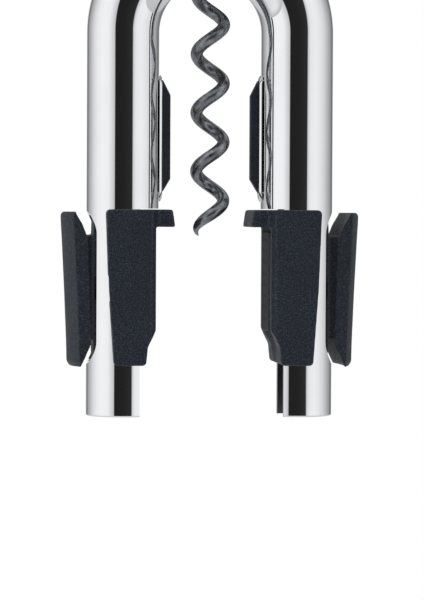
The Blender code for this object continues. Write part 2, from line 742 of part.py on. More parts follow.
def make_carriage(alloy, slider, parent):
    half = CARRIAGE_HALF_WIDTH
    cheek = RACK_HALF_WIDTH + GAP
    back = RACK_ROOT - 0.2 * MM
    notch = RACK_FRONT - GAP
    outline = [(-half, CARRIAGE_FRONT), (half, CARRIAGE_FRONT), (half, back), (cheek, back)]
    outline += [(cheek, notch), (-cheek, notch), (-cheek, back), (-half, back)]
    carriage = prism("carriage", outline, "Z", CARRIAGE_LOW, CARRIAGE_HIGH, alloy)
    low, high = CARRIAGE_LOW - 1 * MM, CARRIAGE_HIGH + 1 * MM
    cut(carriage, rod("cut_shank_bore", SHANK_RADIUS + GAP, low, high, (0, 0, 0), "Z", 20))
    for i, height in enumerate(rack_pin_heights(), 1):
        centre = (0, (RACK_FRONT + RACK_ROOT) / 2, height)
        reach = half + 1 * MM
        cut(carriage, rod(f"cut_rack_pin_{i}", RACK_PIN_RADIUS + GAP, -reach, reach, centre, "X", 10))
    attach_all([carriage], parent)
    for side, sign in SIDES:
        inner = half + GAP
        ends = sorted((sign * inner, sign * (inner + SHOE_THICK)))
        rim = 1.5 * MM
        outline = rounded([
            (-6 * MM, CARRIAGE_LOW + 0.5 * MM, rim),
            (6 * MM, CARRIAGE_LOW + 0.5 * MM, rim),
            (6 * MM, CARRIAGE_HIGH - 0.5 * MM, rim),
            (-6 * MM, CARRIAGE_HIGH - 0.5 * MM, rim),
        ])
        shoe = prism(f"guide_shoe_{side}", outline, "X", *ends, slider)
        attach_all([shoe], parent)


def rack_pin_heights():
    return (CARRIAGE_LOW + 3 * MM, CARRIAGE_HIGH - 3 * MM)


def rack_outline():
    """Side view of the rack: y and z. One tooth is centred level with the gear's axis."""
    lean = math.tan(PRESSURE_ANGLE)
    half = TOOTH_PITCH / 4 - BACKLASH / 4
    tip = RACK_PITCH_LINE + MODULE
    teeth = range(-1, round(STROKE / TOOTH_PITCH) + 2)
    outline = []
    for k in teeth:
        middle = PIVOT_HEIGHT + TOOTH_PITCH * k
        wide = half + 1.25 * MODULE * lean
        narrow = half - MODULE * lean
        outline.append((RACK_ROOT, middle - wide))
        outline.append((tip, middle - narrow))
        outline.append((tip, middle + narrow))
        outline.append((RACK_ROOT, middle + wide))
    low = PIVOT_HEIGHT + TOOTH_PITCH * (teeth[0] - 0.5)
    high = PIVOT_HEIGHT + TOOTH_PITCH * (teeth[-1] + 0.5)
    return [(RACK_FRONT, low), (RACK_ROOT, low)] + outline + [(RACK_ROOT, high), (RACK_FRONT, high)]


def make_rack(steel, parent):
    rack = prism("rack", rack_outline(), "X", -RACK_HALF_WIDTH, RACK_HALF_WIDTH, steel)
    middle = (RACK_FRONT + RACK_ROOT) / 2
    pins = []
    for i, height in enumerate(rack_pin_heights(), 1):
        reach = CARRIAGE_HALF_WIDTH - 0.2 * MM
        centre = (0, middle, height)
        pins.append(rod(f"rack_pin_{i}", RACK_PIN_RADIUS, -reach, reach, centre, "X", 10, steel))
        hole = rod(f"cut_rack_hole_{i}", RACK_PIN_RADIUS + GAP, -reach, reach, centre, "X", 10)
        cut(rack, hole)
    attach_all([rack, *pins], parent)


# ---------------------------------------------------------------- lever


def gear_outline():
    """The gear's outline about its axis, with a tooth space facing the rack when the lever is at rest."""
    base = GEAR_RADIUS * math.cos(PRESSURE_ANGLE)
    root = GEAR_RADIUS - 1.25 * MODULE
    tip = GEAR_RADIUS + MODULE
    half = (math.pi / 2 - BACKLASH / (2 * MODULE)) / GEAR_TEETH
    flank = math.tan(PRESSURE_ANGLE) - PRESSURE_ANGLE
    profile = [(root, half + flank)]
    for i in range(3):
        radius = base + (tip - base) * i / 2
        lean = math.acos(min(1.0, base / radius))
        profile.append((radius, half + flank - (math.tan(lean) - lean)))
    first = math.pi - LEVER_REST + math.pi / GEAR_TEETH
    outline = []
    for k in range(GEAR_TEETH):
        middle = first + 2 * math.pi * k / GEAR_TEETH
        outline += [polar(radius, middle - angle) for radius, angle in profile]
        outline += [polar(radius, middle + angle) for radius, angle in reversed(profile)]
    return outline


def fork_side_view():
    """Side view of the fork about the pivot: the arm runs along +Y and its tang bends up."""
    half = ARM_HALF_HEIGHT
    spread = 70
    hub = arc((0, 0), HUB_RADIUS, spread, 360 - spread, 14)
    bend = Vector((ARM_LENGTH + BRIDGE / 2, 0))
    reach = Vector((math.cos(LEVER_KINK), math.sin(LEVER_KINK)))
    across = Vector((-reach.y, reach.x))
    tang = [
        tuple(bend + reach * 5 * MM - across * TANG_HALF_HEIGHT),
        tuple(bend + reach * TANG_LENGTH - across * TANG_HALF_HEIGHT),
        tuple(bend + reach * TANG_LENGTH + across * TANG_HALF_HEIGHT),
        tuple(bend + reach * 5 * MM + across * TANG_HALF_HEIGHT),
    ]
    lower = [(ARM_LENGTH + BRIDGE * 0.8, -half * 0.9)]
    upper = [(ARM_LENGTH + BRIDGE * 0.3, half * 1.2)]
    return hub + lower + tang + upper


def make_fork(chrome, parent):
    far = ARM_LENGTH + BRIDGE
    end = far + TANG_LENGTH
    past = HUB_RADIUS + 5 * MM
    soft = 4 * MM
    outline = rounded([
        (-ARM_OUTER, -past, 0),
        (-ARM_INNER, -past, 0),
        (-ARM_INNER, ARM_LENGTH, 2 * MM),
        (ARM_INNER, ARM_LENGTH, 2 * MM),
        (ARM_INNER, -past, 0),
        (ARM_OUTER, -past, 0),
        (ARM_OUTER, far, soft),
        (TANG_HALF_WIDTH, far + 2 * MM, 0),
        (TANG_HALF_WIDTH, end, 0),
        (-TANG_HALF_WIDTH, end, 0),
        (-TANG_HALF_WIDTH, far + 2 * MM, 0),
        (-ARM_OUTER, far, soft),
    ])
    fork = prism("lever_fork", fork_side_view(), "X", -ARM_OUTER - 1 * MM, ARM_OUTER + 1 * MM, chrome)
    fork.parent = parent
    tall = HANDLE_LENGTH
    keep_common(fork, prism("keep_fork_plan", outline, "Z", -tall, tall))
    reach = ARM_OUTER + 2 * MM
    cut(fork, rod("cut_fork_bore", SHAFT_RADIUS + GAP, -reach, reach, (0, 0, 0), "X", 20))


def handle_ring(place, half_width, half_height, drop):
    """A rounded cross-section of the handle, across its own axis."""
    ring = []
    for i in range(16):
        turn = 2 * math.pi * (i + 0.5) / 16
        x = half_width * math.copysign(abs(math.cos(turn)) ** 0.7, math.cos(turn))
        z = half_height * math.copysign(abs(math.sin(turn)) ** 0.7, math.sin(turn))
        ring.append((x, place, z + drop))
    return ring


def make_handle(plastic, steel, parent):
    """The handle is made along +Y of its own empty, which is turned by the lever's kink."""
    seat = make_empty("handle_seat", (0, 0, 0))
    seat.parent = parent
    bend = Matrix.Translation((0, ARM_LENGTH + BRIDGE / 2, 0))
    seat.matrix_local = bend @ Matrix.Rotation(LEVER_KINK, 4, "X")
    start = BRIDGE / 2 + 4.5 * MM
    width, height = HANDLE_HALF_WIDTH, HANDLE_HALF_HEIGHT
    end = start + HANDLE_LENGTH
    rings = [
        handle_ring(start, width * 0.62, height * 0.66, 0),
        handle_ring(start + 1.5 * MM, width * 0.72, height * 0.76, 0),
        handle_ring(start + HANDLE_LENGTH * 0.22, width * 0.86, height * 0.92, 0),
        handle_ring(start + HANDLE_LENGTH * 0.5, width, height, 0.6 * MM),
        handle_ring(start + HANDLE_LENGTH * 0.78, width * 0.94, height * 0.94, 0),
        handle_ring(end - 4 * MM, width * 0.86, height * 0.8, -0.6 * MM),
        handle_ring(end - 1 * MM, width * 0.7, height * 0.6, -0.8 * MM),
        handle_ring(end, width * 0.5, height * 0.4, -0.8 * MM),
    ]
    handle = loft("lever_handle", rings, plastic, smooth=True)
    handle.parent = seat
    wide = TANG_HALF_WIDTH + GAP
    tall = TANG_HALF_HEIGHT + GAP
    low = (-wide, start - 5 * MM, -tall)
    high = (wide, TANG_LENGTH + 3 * MM, tall)
    cut(handle, box("cut_tang_socket", low, high))
    place = TANG_LENGTH - 9 * MM
    under = -height - 2 * MM
    bore = rod("cut_handle_bore", SCREW_RADIUS + GAP, under, tall + 2.5 * MM, (0, place, 0), "Z", 12)
    head = rod("cut_handle_head", SCREW_HEAD_RADIUS + GAP, under, -height * 0.62, (0, place, 0), "Z", 16)
    cut(handle, bore, head)
    top = tall + 2.2 * MM
    name = "handle_screw"
    sizes = (SCREW_RADIUS, SCREW_HEAD_RADIUS, 1.5 * MM)
    fixing = screw(name, (0, place, 0), "Z", -height * 0.62 - 1.7 * MM, top, *sizes, steel)
    for obj in (fixing, *[modifier.object for modifier in fixing.modifiers]):
        obj.parent = seat
    return place


def drill_tang(place):
    """The screw that holds the handle passes through the fork's tang."""
    fork = bpy.data.objects["lever_fork"]
    hole = rod("cut_tang_hole", SCREW_RADIUS + GAP, -10 * MM, 10 * MM, (0, place, 0), "Z", 12)
    cut(fork, hole)
    hole.parent = bpy.data.objects["handle_seat"]


def make_drive(steel, chrome, parent):
    gear = prism("drive_gear", gear_outline(), "X", -GEAR_HALF_WIDTH, GEAR_HALF_WIDTH, steel)
    gear.parent = parent
    hub_end = CHAMBER_HALF_WIDTH - 1.6 * MM
    hub = rod("join_gear_hub", HUB_RADIUS - 1.5 * MM, GEAR_HALF_WIDTH - 1 * MM, hub_end, (0, 0, 0), "X", 20)
    join(gear, hub)
    reach = HEAD_HALF_WIDTH
    cut(gear, rod("cut_gear_bore", SHAFT_RADIUS + GAP, -reach, reach, (0, 0, 0), "X", 20))
    pin_place = (GEAR_HALF_WIDTH + hub_end) / 2
    pin = HUB_RADIUS - 1.8 * MM
    cut(gear, rod("cut_gear_pin", RACK_PIN_RADIUS + GAP, -12 * MM, 12 * MM, (pin_place, 0, 0), "Z", 10))
    end = ARM_OUTER + 1.6 * MM
    shaft = rod("pivot_shaft", SHAFT_RADIUS, -end, end, (0, 0, 0), "X", 20, steel)
    shaft.parent = parent
    cut(shaft, rod("cut_shaft_pin", RACK_PIN_RADIUS + GAP, -8 * MM, 8 * MM, (pin_place, 0, 0), "Z", 10))
    key = rod("gear_pin", RACK_PIN_RADIUS, -pin, pin, (pin_place, 0, 0), "Z", 10, steel)
    key.parent = parent
    for side, sign in SIDES:
        low = sign * (ARM_OUTER + GAP)
        high = sign * (end + 2.2 * MM)
        profile = [(HUB_RADIUS - 2.2 * MM, low), (HUB_RADIUS - 2.2 * MM, high - sign * 1.6 * MM)]
        profile += [(HUB_RADIUS - 4.2 * MM, high)]
        cap = turned(f"shaft_cap_{side}", profile, (0, 0, 0), "X", 20, chrome)
        cap.parent = parent
        ends = sorted((low - sign * 1 * MM, sign * (end + GAP)))
        cut(cap, rod(f"cut_cap_{side}", SHAFT_RADIUS + GAP, *ends, (0, 0, 0), "X", 20))


# ---------------------------------------------------------------- head


def head_outline():
    """Side view of the head: y and z."""
    centre = (PIVOT_DEPTH, PIVOT_HEIGHT)
    back = CHAMBER_BACK + HEAD_WALL + 0.5 * MM
    rise = math.radians(50)
    low_end = math.radians(-60)
    high_point = (centre[0] + BULGE_RADIUS * math.cos(rise), centre[1] + BULGE_RADIUS * math.sin(rise))
    shoulder = high_point[1] + (high_point[0] - back) * math.cos(rise) / math.sin(rise)
    low_point = (centre[0] + BULGE_RADIUS * math.cos(low_end), centre[1] + BULGE_RADIUS * math.sin(low_end))
    heel = low_point[0] + (low_point[1] - HEAD_BOTTOM) * math.sin(low_end) / math.cos(low_end)
    crest = 9 * MM
    front = [(HEAD_FRONT, HEAD_BOTTOM, 3 * MM), (HEAD_FRONT, HEAD_TOP, crest), (back, HEAD_TOP, crest)]
    rear = [(back, shoulder, 0), (*high_point, 0), (*low_point, 0), (heel, HEAD_BOTTOM, 0)]
    outline = rounded(front + rear, 4)
    bulge = arc(centre, BULGE_RADIUS, 50, -60, 16)
    return outline[:-3] + bulge + outline[-1:]


def head_screw_places():
    """Screw positions as y and z, in solid parts of the head."""
    top = HEAD_TOP - HEAD_TOP_WALL / 2 - 0.3 * MM
    behind = CHAMBER_BACK + 4.4 * MM
    reach = GEAR_CHAMBER_RADIUS + 6 * MM
    drop = math.sqrt(reach**2 - (PIVOT_DEPTH - behind) ** 2)
    return [
        (HEAD_FRONT + 8 * MM, top),
        (CHAMBER_BACK - 6 * MM, top),
        (behind, PIVOT_HEIGHT + drop),
        (behind, PIVOT_HEIGHT - drop),
    ]


def head_cutters(side):
    """The hollows that both halves of the head share."""
    wide = CHAMBER_HALF_WIDTH
    low, high = (-wide, CHAMBER_FRONT, SHELF_HIGH), (wide, CHAMBER_BACK, CHAMBER_TOP)
    yield box(f"cut_carriage_room_{side}", low, high)
    centre = (0, PIVOT_DEPTH, PIVOT_HEIGHT)
    reach = wide - 0.5 * MM
    yield rod(f"cut_gear_room_{side}", GEAR_CHAMBER_RADIUS, -reach, reach, centre, "X", 24)
    slim = RACK_HALF_WIDTH + 0.8 * MM
    low, high = (-slim, RACK_FRONT - GAP, HEAD_BOTTOM - 5 * MM), (slim, CHAMBER_BACK, SHELF_HIGH + 2 * MM)
    yield box(f"cut_rack_way_{side}", low, high)
    room = wide + 0.5 * MM
    low = (-room, HEAD_FRONT + 1.5 * MM, RATCHET_LOW - GAP)
    high = (room, RATCHET_RADIUS + 0.6 * MM, SHELF_LOW)
    yield box(f"cut_ratchet_room_{side}", low, high)
    flange = RATCHET_RADIUS + 0.2 * MM
    top = RATCHET_LOW
    yield rod(f"cut_bush_room_{side}", flange, CROWN_HEIGHT, top, (0, 0, 0), "Z", 24)
    low, high = HEAD_BOTTOM - 5 * MM, CROWN_HEIGHT + 2 * MM
    yield rod(f"cut_nut_way_{side}", CROWN_HOLE, low, high, (0, 0, 0), "Z", 24)
    worm_way = WORM_RADIUS + WORM_WIRE + 0.8 * MM
    low, high = RATCHET_HIGH, SHELF_HIGH + 2 * MM
    yield rod(f"cut_worm_way_{side}", worm_way, low, high, (0, 0, 0), "Z", 24)
    yield tube_cutter(f"cut_crown_{side}", TUBE_RADIUS + SLIDE_GAP)
    bush = SHAFT_RADIUS + GAP + BUSH_WALL + GAP
    far = HEAD_HALF_WIDTH + 2 * MM
    yield rod(f"cut_bush_hole_{side}", bush, -far, far, centre, "X", 20)
    half = BUTTON_HALF + GAP
    low = (-half, HEAD_FRONT - 2 * MM, BUTTON_HEIGHT - half)
    high = (half, HEAD_FRONT + 3 * MM, BUTTON_HEIGHT + half)
    yield box(f"cut_button_hole_{side}", low, high)


def make_head(plastic, steel):
    for side, sign in SIDES:
        split = GAP / 2
        edge = 1.5 * MM
        rings = []
        outline = head_outline()
        for place, inset in ((split, 0), (HEAD_HALF_WIDTH - edge, 0), (HEAD_HALF_WIDTH, edge)):
            rings.append([(sign * place, y, z) for y, z in inset_outline(outline, inset)])
        shell = loft(f"head_shell_{side}", rings, plastic)
        cut(shell, *head_cutters(side))
        for i, (y, z) in enumerate(head_screw_places(), 1):
            reach = sorted((sign * -1 * MM, sign * (HEAD_HALF_WIDTH + 1 * MM)))
            if sign < 0:
                reach = [-HEAD_HALF_WIDTH + 2 * MM, 1 * MM]
            hole = rod(f"cut_head_screw_{side}_{i}", HEAD_SCREW_RADIUS + GAP, *reach, (0, y, z), "X", 12)
            cut(shell, hole)
            if sign > 0:
                ends = (HEAD_HALF_WIDTH - 2 * MM, HEAD_HALF_WIDTH + 1 * MM)
                sink = HEAD_SCREW_HEAD + GAP
                cut(shell, rod(f"cut_head_sink_{i}", sink, *ends, (0, y, z), "X", 16))
    for i, (y, z) in enumerate(head_screw_places(), 1):
        head = HEAD_HALF_WIDTH - 0.2 * MM
        tip = -HEAD_HALF_WIDTH + 2.5 * MM
        sizes = (HEAD_SCREW_RADIUS, HEAD_SCREW_HEAD, 1.4 * MM)
        screw(f"head_screw_{i}", (0, y, z), "X", head, tip, *sizes, steel)


def inset_outline(outline, distance):
    """Moves each point of an outline inwards along the mean normal of its two edges."""
    if distance == 0:
        return outline
    points = [Vector(point) for point in outline]
    area = sum(a.cross(b) for a, b in zip(points, points[1:] + points[:1]))
    way = 1 if area > 0 else -1
    moved = []
    for i, point in enumerate(points):
        back = (point - points[i - 1]).normalized()
        ahead = (points[(i + 1) % len(points)] - point).normalized()
        normal = Vector((-back.y - ahead.y, back.x + ahead.x)).normalized() * way
        cosine = max(0.5, normal.dot(Vector((-back.y, back.x)) * way))
        moved.append(tuple(point + normal * distance / cosine))
    return moved


def make_pivot_bushes(slider):
    centre = (0, PIVOT_DEPTH, PIVOT_HEIGHT)
    inner = SHAFT_RADIUS + GAP
    outer = inner + BUSH_WALL
    flange = HUB_RADIUS - 1 * MM
    for side, sign in SIDES:
        low = sign * (CHAMBER_HALF_WIDTH - 0.3 * MM)
        face = sign * (HEAD_HALF_WIDTH + 0.2 * MM)
        end = sign * (HEAD_HALF_WIDTH + 0.6 * MM)
        profile = [(inner, low), (outer, low), (outer, face), (flange, face), (flange, end), (inner, end)]
        turned(f"pivot_bush_{side}", profile, centre, "X", 20, slider, closed=True)


# ---------------------------------------------------------------- guide nut, pawl and lock button


def ratchet_outline():
    """Saw teeth that stop the nut from turning left, seen from above, and let it turn right."""
    root = RATCHET_RADIUS - RATCHET_DEPTH
    pitch = 2 * math.pi / RATCHET_TEETH
    outline = []
    for k in range(RATCHET_TEETH):
        start = RATCHET_PHASE + pitch * k
        outline.append(polar(RATCHET_RADIUS, start))
        outline.append(polar(root, start))
        outline.append(polar(root, start + pitch * 0.47))
        outline.append(polar(RATCHET_RADIUS, start + pitch * 0.87))
    return outline


def make_nut(slider, bronze):
    bottom = HEAD_BOTTOM + 0.2 * MM
    nut = rod("guide_nut", NUT_RADIUS, bottom, RATCHET_LOW + 1 * MM, (0, 0, 0), "Z", 24, slider)
    join(nut, prism("join_ratchet", ratchet_outline(), "Z", RATCHET_LOW, RATCHET_HIGH))
    wire = WORM_WIRE + NUT_BORE_SIDE_GAP
    mouth = SHELF_HIGH + GAP - WORM_NECK - 0.6 * MM
    high = RATCHET_HIGH + 1 * MM
    cut(nut, rod("cut_nut_mouth", WORM_RADIUS + wire, mouth, high, (0, 0, 0), "Z", 24))
    step = WORM_PITCH / WORM_STEPS_PER_TURN
    low = bottom - step * 2.5
    count = math.ceil((mouth + 1.3 * step - low) / step)
    path = [worm_point(low + step * i) for i in range(count + 1)]
    cut(nut, sweep("cut_worm_channel", path, [wire] * len(path), WORM_SIDES))

    inner = NUT_RADIUS + 2 * GAP
    outer = RATCHET_RADIUS - 0.2 * MM
    low, high = CROWN_TOP + 0.4 * MM, RATCHET_LOW - 0.4 * MM
    ring_solid("nut_washer", inner, outer, low, high, (0, 0, 0), "Z", 24, bronze)


def make_pawl(steel):
    parent = make_empty("swing_pawl", (*PAWL_AXIS, BUTTON_HEIGHT))
    face = RATCHET_PHASE + 2 * math.pi / RATCHET_TEETH
    nose = RATCHET_RADIUS - RATCHET_DEPTH + 0.35 * MM
    clear = RATCHET_RADIUS + GAP
    outline = [polar(nose, face + 0.03), polar(nose, face + 0.10)]
    outline += [polar(clear, face + 0.19), polar(clear + 0.1 * MM, face + 0.36)]
    outline += arc(PAWL_AXIS, PAWL_HUB, 135, -110, 8)
    outline.append(polar(RATCHET_RADIUS + 1 * MM, face + 0.05))
    low, high = RATCHET_LOW + 0.2 * MM, RATCHET_HIGH - 0.2 * MM
    pawl = prism("pawl", outline, "Z", low, high, steel)
    centre = (*PAWL_AXIS, 0)
    reach = RATCHET_THICK
    cut(pawl, rod("cut_pawl_bore", PAWL_PIN + GAP, low - reach, high + reach, centre, "Z", 12))
    attach_all([pawl], parent)
    rod("pawl_pin", PAWL_PIN, RATCHET_LOW - 0.1 * MM, SHELF_LOW - 0.1 * MM, centre, "Z", 12, steel)
    hub = Vector((*PAWL_AXIS, BUTTON_HEIGHT)) + Vector((*polar(PAWL_HUB, math.radians(-110)), 0))
    nose = Vector((*outline[-1], BUTTON_HEIGHT))
    across = (hub - nose).cross(Vector((0, 0, 1))).normalized()
    start = (hub + nose) / 2 + across * (GAP + 0.05 * MM)
    return start, start + across * 1.7 * MM


def make_pawl_spring(ends, steel):
    coil("pawl_spring", *ends, 0.8 * MM, 0.15 * MM, 3, steel, 7, 4)


def make_button(plastic, steel):
    parent = make_empty("press_button", (0, HEAD_FRONT, BUTTON_HEIGHT))
    tip = -RATCHET_RADIUS - 0.35 * MM
    step = HEAD_FRONT + 1.2 * MM
    cap_back = HEAD_FRONT - 1.9 * MM
    cap_front = cap_back - 2.2 * MM
    half = BUTTON_HALF
    corners = [(-4.5 * MM, -4 * MM), (4.5 * MM, -4 * MM), (4.5 * MM, 4 * MM), (-4.5 * MM, 4 * MM)]
    outline = rounded([(u, BUTTON_HEIGHT + v, 2 * MM) for u, v in corners])
    button = prism("lock_button", outline, "Y", cap_front, cap_back, plastic)
    low, high = (-half, cap_back - 1 * MM, BUTTON_HEIGHT - half), (half, step, BUTTON_HEIGHT + half)
    join(button, box("join_button_stem", low, high))
    slim = 0.75 * MM
    low, high = (-slim, step - 1 * MM, BUTTON_HEIGHT - 1.2 * MM), (slim, tip, BUTTON_HEIGHT + 1.2 * MM)
    join(button, box("join_button_tongue", low, high))
    attach_all([button], parent)
    ends = ((0, cap_back + 0.1 * MM, BUTTON_HEIGHT), (0, HEAD_FRONT - 0.1 * MM, BUTTON_HEIGHT))
    coil("button_spring", *ends, 3.4 * MM, 0.22 * MM, 2, steel, 12, 4)


# ---------------------------------------------------------------- assembly


def main():
    clear_scene()
    chrome = make_material("chrome", (0.82, 0.83, 0.85), 0.06, 1.0)
    plastic = make_material("textured_plastic", (0.030, 0.036, 0.052), 0.5, 0.0)
    head_plastic = make_material("head_plastic", (0.026, 0.031, 0.045), 0.45, 0.0)
    handle_plastic = make_material("handle_plastic", (0.028, 0.033, 0.046), 0.5, 0.0)
    rubber = make_material("rubber", (0.018, 0.018, 0.019), 0.7, 0.0)
    slider = make_material("nylon", (0.75, 0.74, 0.70), 0.4, 0.0)
    steel = make_material("steel", (0.56, 0.57, 0.58), 0.3, 1.0)
    coated = make_material("coated_steel", (0.060, 0.063, 0.068), 0.38, 0.3)
    alloy = make_material("alloy", (0.62, 0.63, 0.65), 0.35, 1.0)
    bronze = make_material("bronze", (0.60, 0.42, 0.22), 0.35, 1.0)

    make_frame(chrome)
    for side, sign in SIDES:
        make_cork_pads(side, sign, chrome, rubber)
        make_jaw_side(side, sign, plastic, rubber, steel)

    make_worm(coated, steel)
    carriage_slide = make_empty("slide_carriage", (0, 0, CARRIAGE_LOW))
    make_carriage(alloy, slider, carriage_slide)
    make_rack(steel, carriage_slide)

    lever_axis = make_empty("lever_axis", (0, PIVOT_DEPTH, PIVOT_HEIGHT), LEVER_REST)
    make_fork(chrome, lever_axis)
    drill_tang(make_handle(handle_plastic, steel, lever_axis))
    make_drive(steel, chrome, lever_axis)

    make_head(head_plastic, steel)
    make_pivot_bushes(slider)
    make_nut(slider, bronze)
    make_pawl_spring(make_pawl(steel), steel)
    make_button(head_plastic, steel)


main()
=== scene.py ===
"""Lever corkscrew: detailed meshes, materials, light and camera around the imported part.

The origin is on the worm's axis, level with the lower ends of the legs. +Z is up, +X is to the right leg
and -Y is to the front. Lengths are in metres, and MM stands for one millimetre.
"""

import json
import math

import bmesh
import bpy
from mathutils import Matrix, Vector


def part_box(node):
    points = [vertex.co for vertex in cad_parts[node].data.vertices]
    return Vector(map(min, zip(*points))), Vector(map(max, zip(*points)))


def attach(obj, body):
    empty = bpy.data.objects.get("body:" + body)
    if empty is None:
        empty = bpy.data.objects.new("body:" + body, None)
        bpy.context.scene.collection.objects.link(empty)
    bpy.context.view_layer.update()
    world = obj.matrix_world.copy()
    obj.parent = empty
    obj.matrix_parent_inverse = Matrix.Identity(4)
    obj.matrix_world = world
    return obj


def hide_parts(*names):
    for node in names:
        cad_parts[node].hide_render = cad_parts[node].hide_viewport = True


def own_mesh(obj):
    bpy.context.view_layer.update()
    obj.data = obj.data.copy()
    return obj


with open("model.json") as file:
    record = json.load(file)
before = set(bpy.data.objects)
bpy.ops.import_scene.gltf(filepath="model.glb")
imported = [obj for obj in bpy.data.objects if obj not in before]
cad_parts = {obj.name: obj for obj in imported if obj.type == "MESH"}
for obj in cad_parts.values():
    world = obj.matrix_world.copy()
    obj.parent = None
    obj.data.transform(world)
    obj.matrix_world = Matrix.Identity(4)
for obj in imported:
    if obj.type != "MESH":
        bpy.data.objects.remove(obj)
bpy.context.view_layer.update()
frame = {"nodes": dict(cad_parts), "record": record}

MM = 0.001
SIDES = (("left", -1), ("right", 1))
ORIGIN = (0, 0, 0)

# Fits shared by several pieces
CLEARANCE = 0.3 * MM
SCREW_BORE = 1.6 * MM
SCREW_SEAT = 2.9 * MM
SHAFT_BORE = 4.3 * MM

# Frame tube
TUBE_RADIUS = 8.75 * MM
TUBE_BORE = 7.15 * MM
LEG_OFFSET = 21.25 * MM
LEG_HEIGHT = 93.0 * MM
LEG_CUT = 17.5 * MM
TUBE_SIDES = 96
ARCH_STEPS = 72
CROWN_HOLE = 6.6 * MM
GUIDE_PIN_BORE = 1.8 * MM
SLOT = (5.75 * MM, 12.4 * MM, 49.8 * MM)

# Cork pads. The plug and the window are (half width, lower end, upper end)
LEG_INNER = LEG_OFFSET - TUBE_RADIUS
PAD_HALF_WIDTH = 1.4 * MM
PAD_LOW = 54.4 * MM
PAD_HIGH = 81.5 * MM
PAD_PLUG = (0.8 * MM, 57.5 * MM, 77.8 * MM)
PAD_WINDOW = (1.1 * MM, 57.2 * MM, 78.1 * MM)

# Jaws and grips
JAW_BOTTOM = 12.6 * MM
JAW_TOP = 50.1 * MM
JAW_INNER = 13.9 * MM
JAW_DEPTH = 13.0 * MM
HOOK_UNDERSIDE = 45.9 * MM
HOOK_DEPTH = 10.3 * MM
RECESS_RADIUS = 16.6 * MM
CHANNEL_HALF_WIDTH = 9.1 * MM
STEM_HALF_WIDTH = 5 * MM
STEM_LOW = 18.5 * MM
STEM_HIGH = 43.9 * MM
STEM_END = 31.2 * MM
FILLER = (5.45 * MM, 12.7 * MM, 49.5 * MM)
GRIP_INNER = 32.0 * MM
GRIP_LOW = 12.2 * MM
GRIP_HIGH = 49.5 * MM
GRIP_DEPTH = 11.0 * MM
SCREW_HEIGHTS = (22.5 * MM, 39.5 * MM)
PIN_OFFSET = 20.2 * MM
PIN_HEIGHT = 31.0 * MM
LINER_INNER = 15.1 * MM
LINER_OUTER = 16.3 * MM
LINER_LOW = 20.5 * MM
LINER_HIGH = 44.8 * MM
LINER_ANGLE = 25

# Worm
WORM_RADIUS = 3.3 * MM
WORM_WIRE = 1.5 * MM
WORM_PITCH = 14.25 * MM
WORM_TIP = 43.8 * MM
WORM_PHASE_HEIGHT = 52.5 * MM
CARRIAGE_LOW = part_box("carriage")[0].z
CARRIAGE_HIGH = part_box("carriage")[1].z

# Head and lever
PIVOT = Vector((0, 33.0 * MM, 135.0 * MM))
LEVER_REST = math.radians(28)
LEVER_KINK = math.radians(20)
HEAD_HALF_WIDTH = 13.0 * MM
HEAD_FRONT = -11.5 * MM
HEAD_BOTTOM = 104.0 * MM
HEAD_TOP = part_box("head_shell_left")[1].z
HEAD_BACK = 20.6 * MM
HEAD_SCREW_BORE = 1.8 * MM
HEAD_SCREW_SINK = 3.1 * MM
RATCHET_LOW = 125.2 * MM
RATCHET_TOP = 128.7 * MM
BUTTON_HEIGHT = 126.7 * MM
BUTTON_CAP = 2.2 * MM
ARM_INNER = 13.9 * MM
ARM_OUTER = 17.4 * MM
ARM_LENGTH = 81.5 * MM
BRIDGE = 7.0 * MM
TANG_LENGTH = 42 * MM
TANG_HALF_WIDTH = 4.5 * MM
HANDLE_HALF_WIDTH = 12.5 * MM
HANDLE_HALF_HEIGHT = 8.5 * MM
HANDLE_SCREW_PLACE = 33 * MM
GROOVE_DEPTH = 0.35 * MM

# Stage, lights and camera
FLOOR_HEIGHT = -255 * MM
FLOOR_RADIUS = 1.6
LIGHT_TARGET = Vector((0, 0, 60 * MM))
LIGHT_POWER = 3.0
LIGHTS = {
    # name: (place, size)
    "top_light": ((-0.35, -0.30, 1.1), (0.9, 0.9)),
    "left_light": ((-1.0, -0.55, 0.45), (0.4, 0.9)),
}
CAMERA_PLACE = Vector((-77, -796, 50)) * MM
CAMERA_TARGET = Vector((0.68, 0, 28.1)) * MM
CAMERA_ROLL = math.radians(0.26)
CAMERA_LENS = 197.0
CAMERA_SENSOR = 36.0


# -------- outlines


def arc(centre, radius, start, end, steps):
    angles = [math.radians(start + (end - start) * i / steps) for i in range(steps + 1)]
    return [(centre[0] + radius * math.cos(a), centre[1] + radius * math.sin(a)) for a in angles]


def polar(radius, angle):
    return (radius * math.cos(angle), radius * math.sin(angle))


def rounded(corners, steps=6):
    """An outline from corners (u, v, radius), each rounded by an arc of that radius."""
    points = []
    count = len(corners)
    for i, (u, v, radius) in enumerate(corners):
        here = Vector((u, v))
        if radius == 0:
            points.append((u, v))
            continue
        back = (Vector(corners[i - 1][:2]) - here).normalized()
        ahead = (Vector(corners[(i + 1) % count][:2]) - here).normalized()
        half = back.angle(ahead) / 2
        middle = here + (back + ahead).normalized() * radius / math.sin(half)
        first = here + back * radius / math.tan(half) - middle
        last = here + ahead * radius / math.tan(half) - middle
        turn = first.angle_signed(last)
        for step in range(steps + 1):
            points.append(tuple(middle + Matrix.Rotation(-turn * step / steps, 2) @ first))
    return points


def obround(half_width, low, high, steps=16):
    top = arc((0, high - half_width), half_width, 0, 180, steps)
    return top + arc((0, low + half_width), half_width, 180, 360, steps)


def mirrored(points, side):
    return [(side * u, v) for u, v in points]


